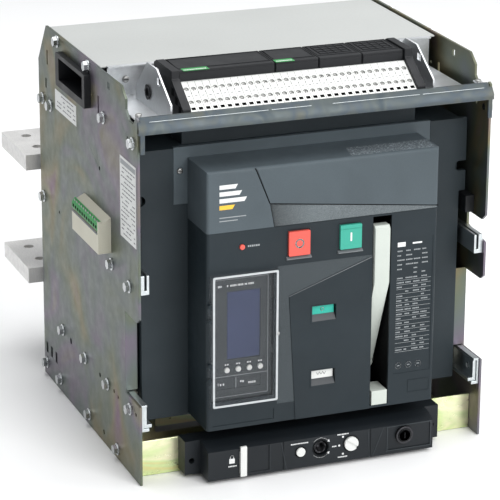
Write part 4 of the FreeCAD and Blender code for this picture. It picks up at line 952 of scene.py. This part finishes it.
def side_details():
    """Printed labels on the left plate, and the contacts of the plug beside them."""
    plate = -217.5
    labels = Piece()
    labels.slab("x", rectangle((225, 371), (310, 396)), plate - 0.18, plate + 0.05, LABEL)
    labels.slab("x", rectangle((6, 288), (62, 384)), plate - 0.18, plate + 0.05, LABEL)
    generator = random.Random(17)
    for depth0, depth1, z0, z1 in ((229, 306, 374, 393), (10, 58, 292, 372)):
        height = z1
        while height > z0:
            along = depth0
            while along < depth1 - 4:
                stroke = generator.uniform(3.0, 9.0)
                if generator.random() < 0.78:
                    labels.slab("x", rectangle((along, height - 1.4), (min(along + stroke, depth1), height)),
                                plate - 0.24, plate - 0.1, INK)
                along += stroke + 1.6
            height -= 5.2
    labels.slab("x", rectangle((8, 375), (60, 381)), plate - 0.24, plate - 0.1, FAINT)
    labels.make("plate_labels", "cradle")

    plug = Piece()
    contacts = [106 + index * 8.6 for index in range(11)]
    for depth in contacts:
        # Painted shade: dark rectangles stand for the contact openings.
        plug.slab("x", rectangle((depth - 2.6, 283.2), (depth + 2.6, 287.0)), -233.42, -233.1, SHADOW_GAP)
        plug.disc("x", (depth, 291.0), [(1.9, -231.6), (1.9, -230.6)], SCREW, 14)
    plug.slab("x", rectangle((101, 270), (197, 279)), -233.45, -233.2, INK)
    for depth in contacts:
        plug.slab("x", rectangle((depth - 1.6, 272.6), (depth + 1.6, 276.4)), -233.48, -233.3, LABEL)
    plug.make("plug_details", "cradle")


# ---------------------------------------------------------------- surroundings

def surroundings():
    """Pale floor, soft surrounding light and three large lamps."""
    floor = bpy.data.meshes.new("floor")
    reach, level = 9, -0.0005
    corners = [(x, y, level) for x, y in rectangle((-reach, -reach), (reach, reach))]
    floor.from_pydata(corners, [], [(0, 1, 2, 3)])
    ground = bpy.data.objects.new("floor", floor)
    look = Look("floor_paper")
    look.tint(look.ramp(look.noise(3.0, 2.0), [(0.3, (0.94, 0.94, 0.94)), (0.7, (0.97, 0.97, 0.97))]))
    floor.materials.append(look.done())
    scene.collection.objects.link(ground)
    world = bpy.data.worlds.new("studio")
    scene.world = world
    world.use_nodes = True
    world.node_tree.nodes["Background"].inputs["Color"].default_value = (0.96, 0.98, 1.0, 1.0)
    world.node_tree.nodes["Background"].inputs["Strength"].default_value = 0.52
    lamps = (("key", (0.9, -3.4, 2.2), (0, 0, 0.2), 2.4, 120),
             ("fill", (3.0, -0.8, 1.8), (0, 0, 0.2), 2.0, 30),
             ("top", (0.2, 0.4, 3.2), (0, 0, 0.3), 2.8, 75))
    for name, place, aim, size, power in lamps:
        lamp = bpy.data.lights.new(name, "AREA")
        lamp.size = size
        lamp.energy = power
        light = bpy.data.objects.new(name, lamp)
        light.location = place
        light.rotation_euler = (Vector(aim) - Vector(place)).to_track_quat("-Z", "Y").to_euler()
        scene.collection.objects.link(light)


def camera():
    """Long lens from the front left, a little above the part and rolled slightly."""
    lens = bpy.data.cameras.new("camera")
    lens.lens = 184.4
    lens.sensor_width = 36
    eye = bpy.data.objects.new("camera", lens)
    place, aim = Vector((-1.0843, -2.7608, 1.2374)), Vector((-0.0246, -0.040, 0.2172))
    eye.location = place
    turn = (aim - place).to_track_quat("-Z", "Y").to_matrix()
    roll = math.radians(0.34)
    right, up, back = turn.col[0], turn.col[1], turn.col[2]
    turned = (right * math.cos(roll) + up * math.sin(roll), up * math.cos(roll) - right * math.sin(roll), back)
    for column, vector in enumerate(turned):
        for row in range(3):
            turn[row][column] = vector[row]
    eye.rotation_euler = turn.to_euler()
    scene.collection.objects.link(eye)
    scene.camera = eye


camera()
surroundings()
scene.view_settings.view_transform = "Standard"
dress_cad()
for detail in (upper_cover_details, button_details, indicator_details, rating_marks, panel_details,
               unit_details, cover_screws, racking_details, terminal_strip, module_details, shelf_details,
               side_details):
    detail()
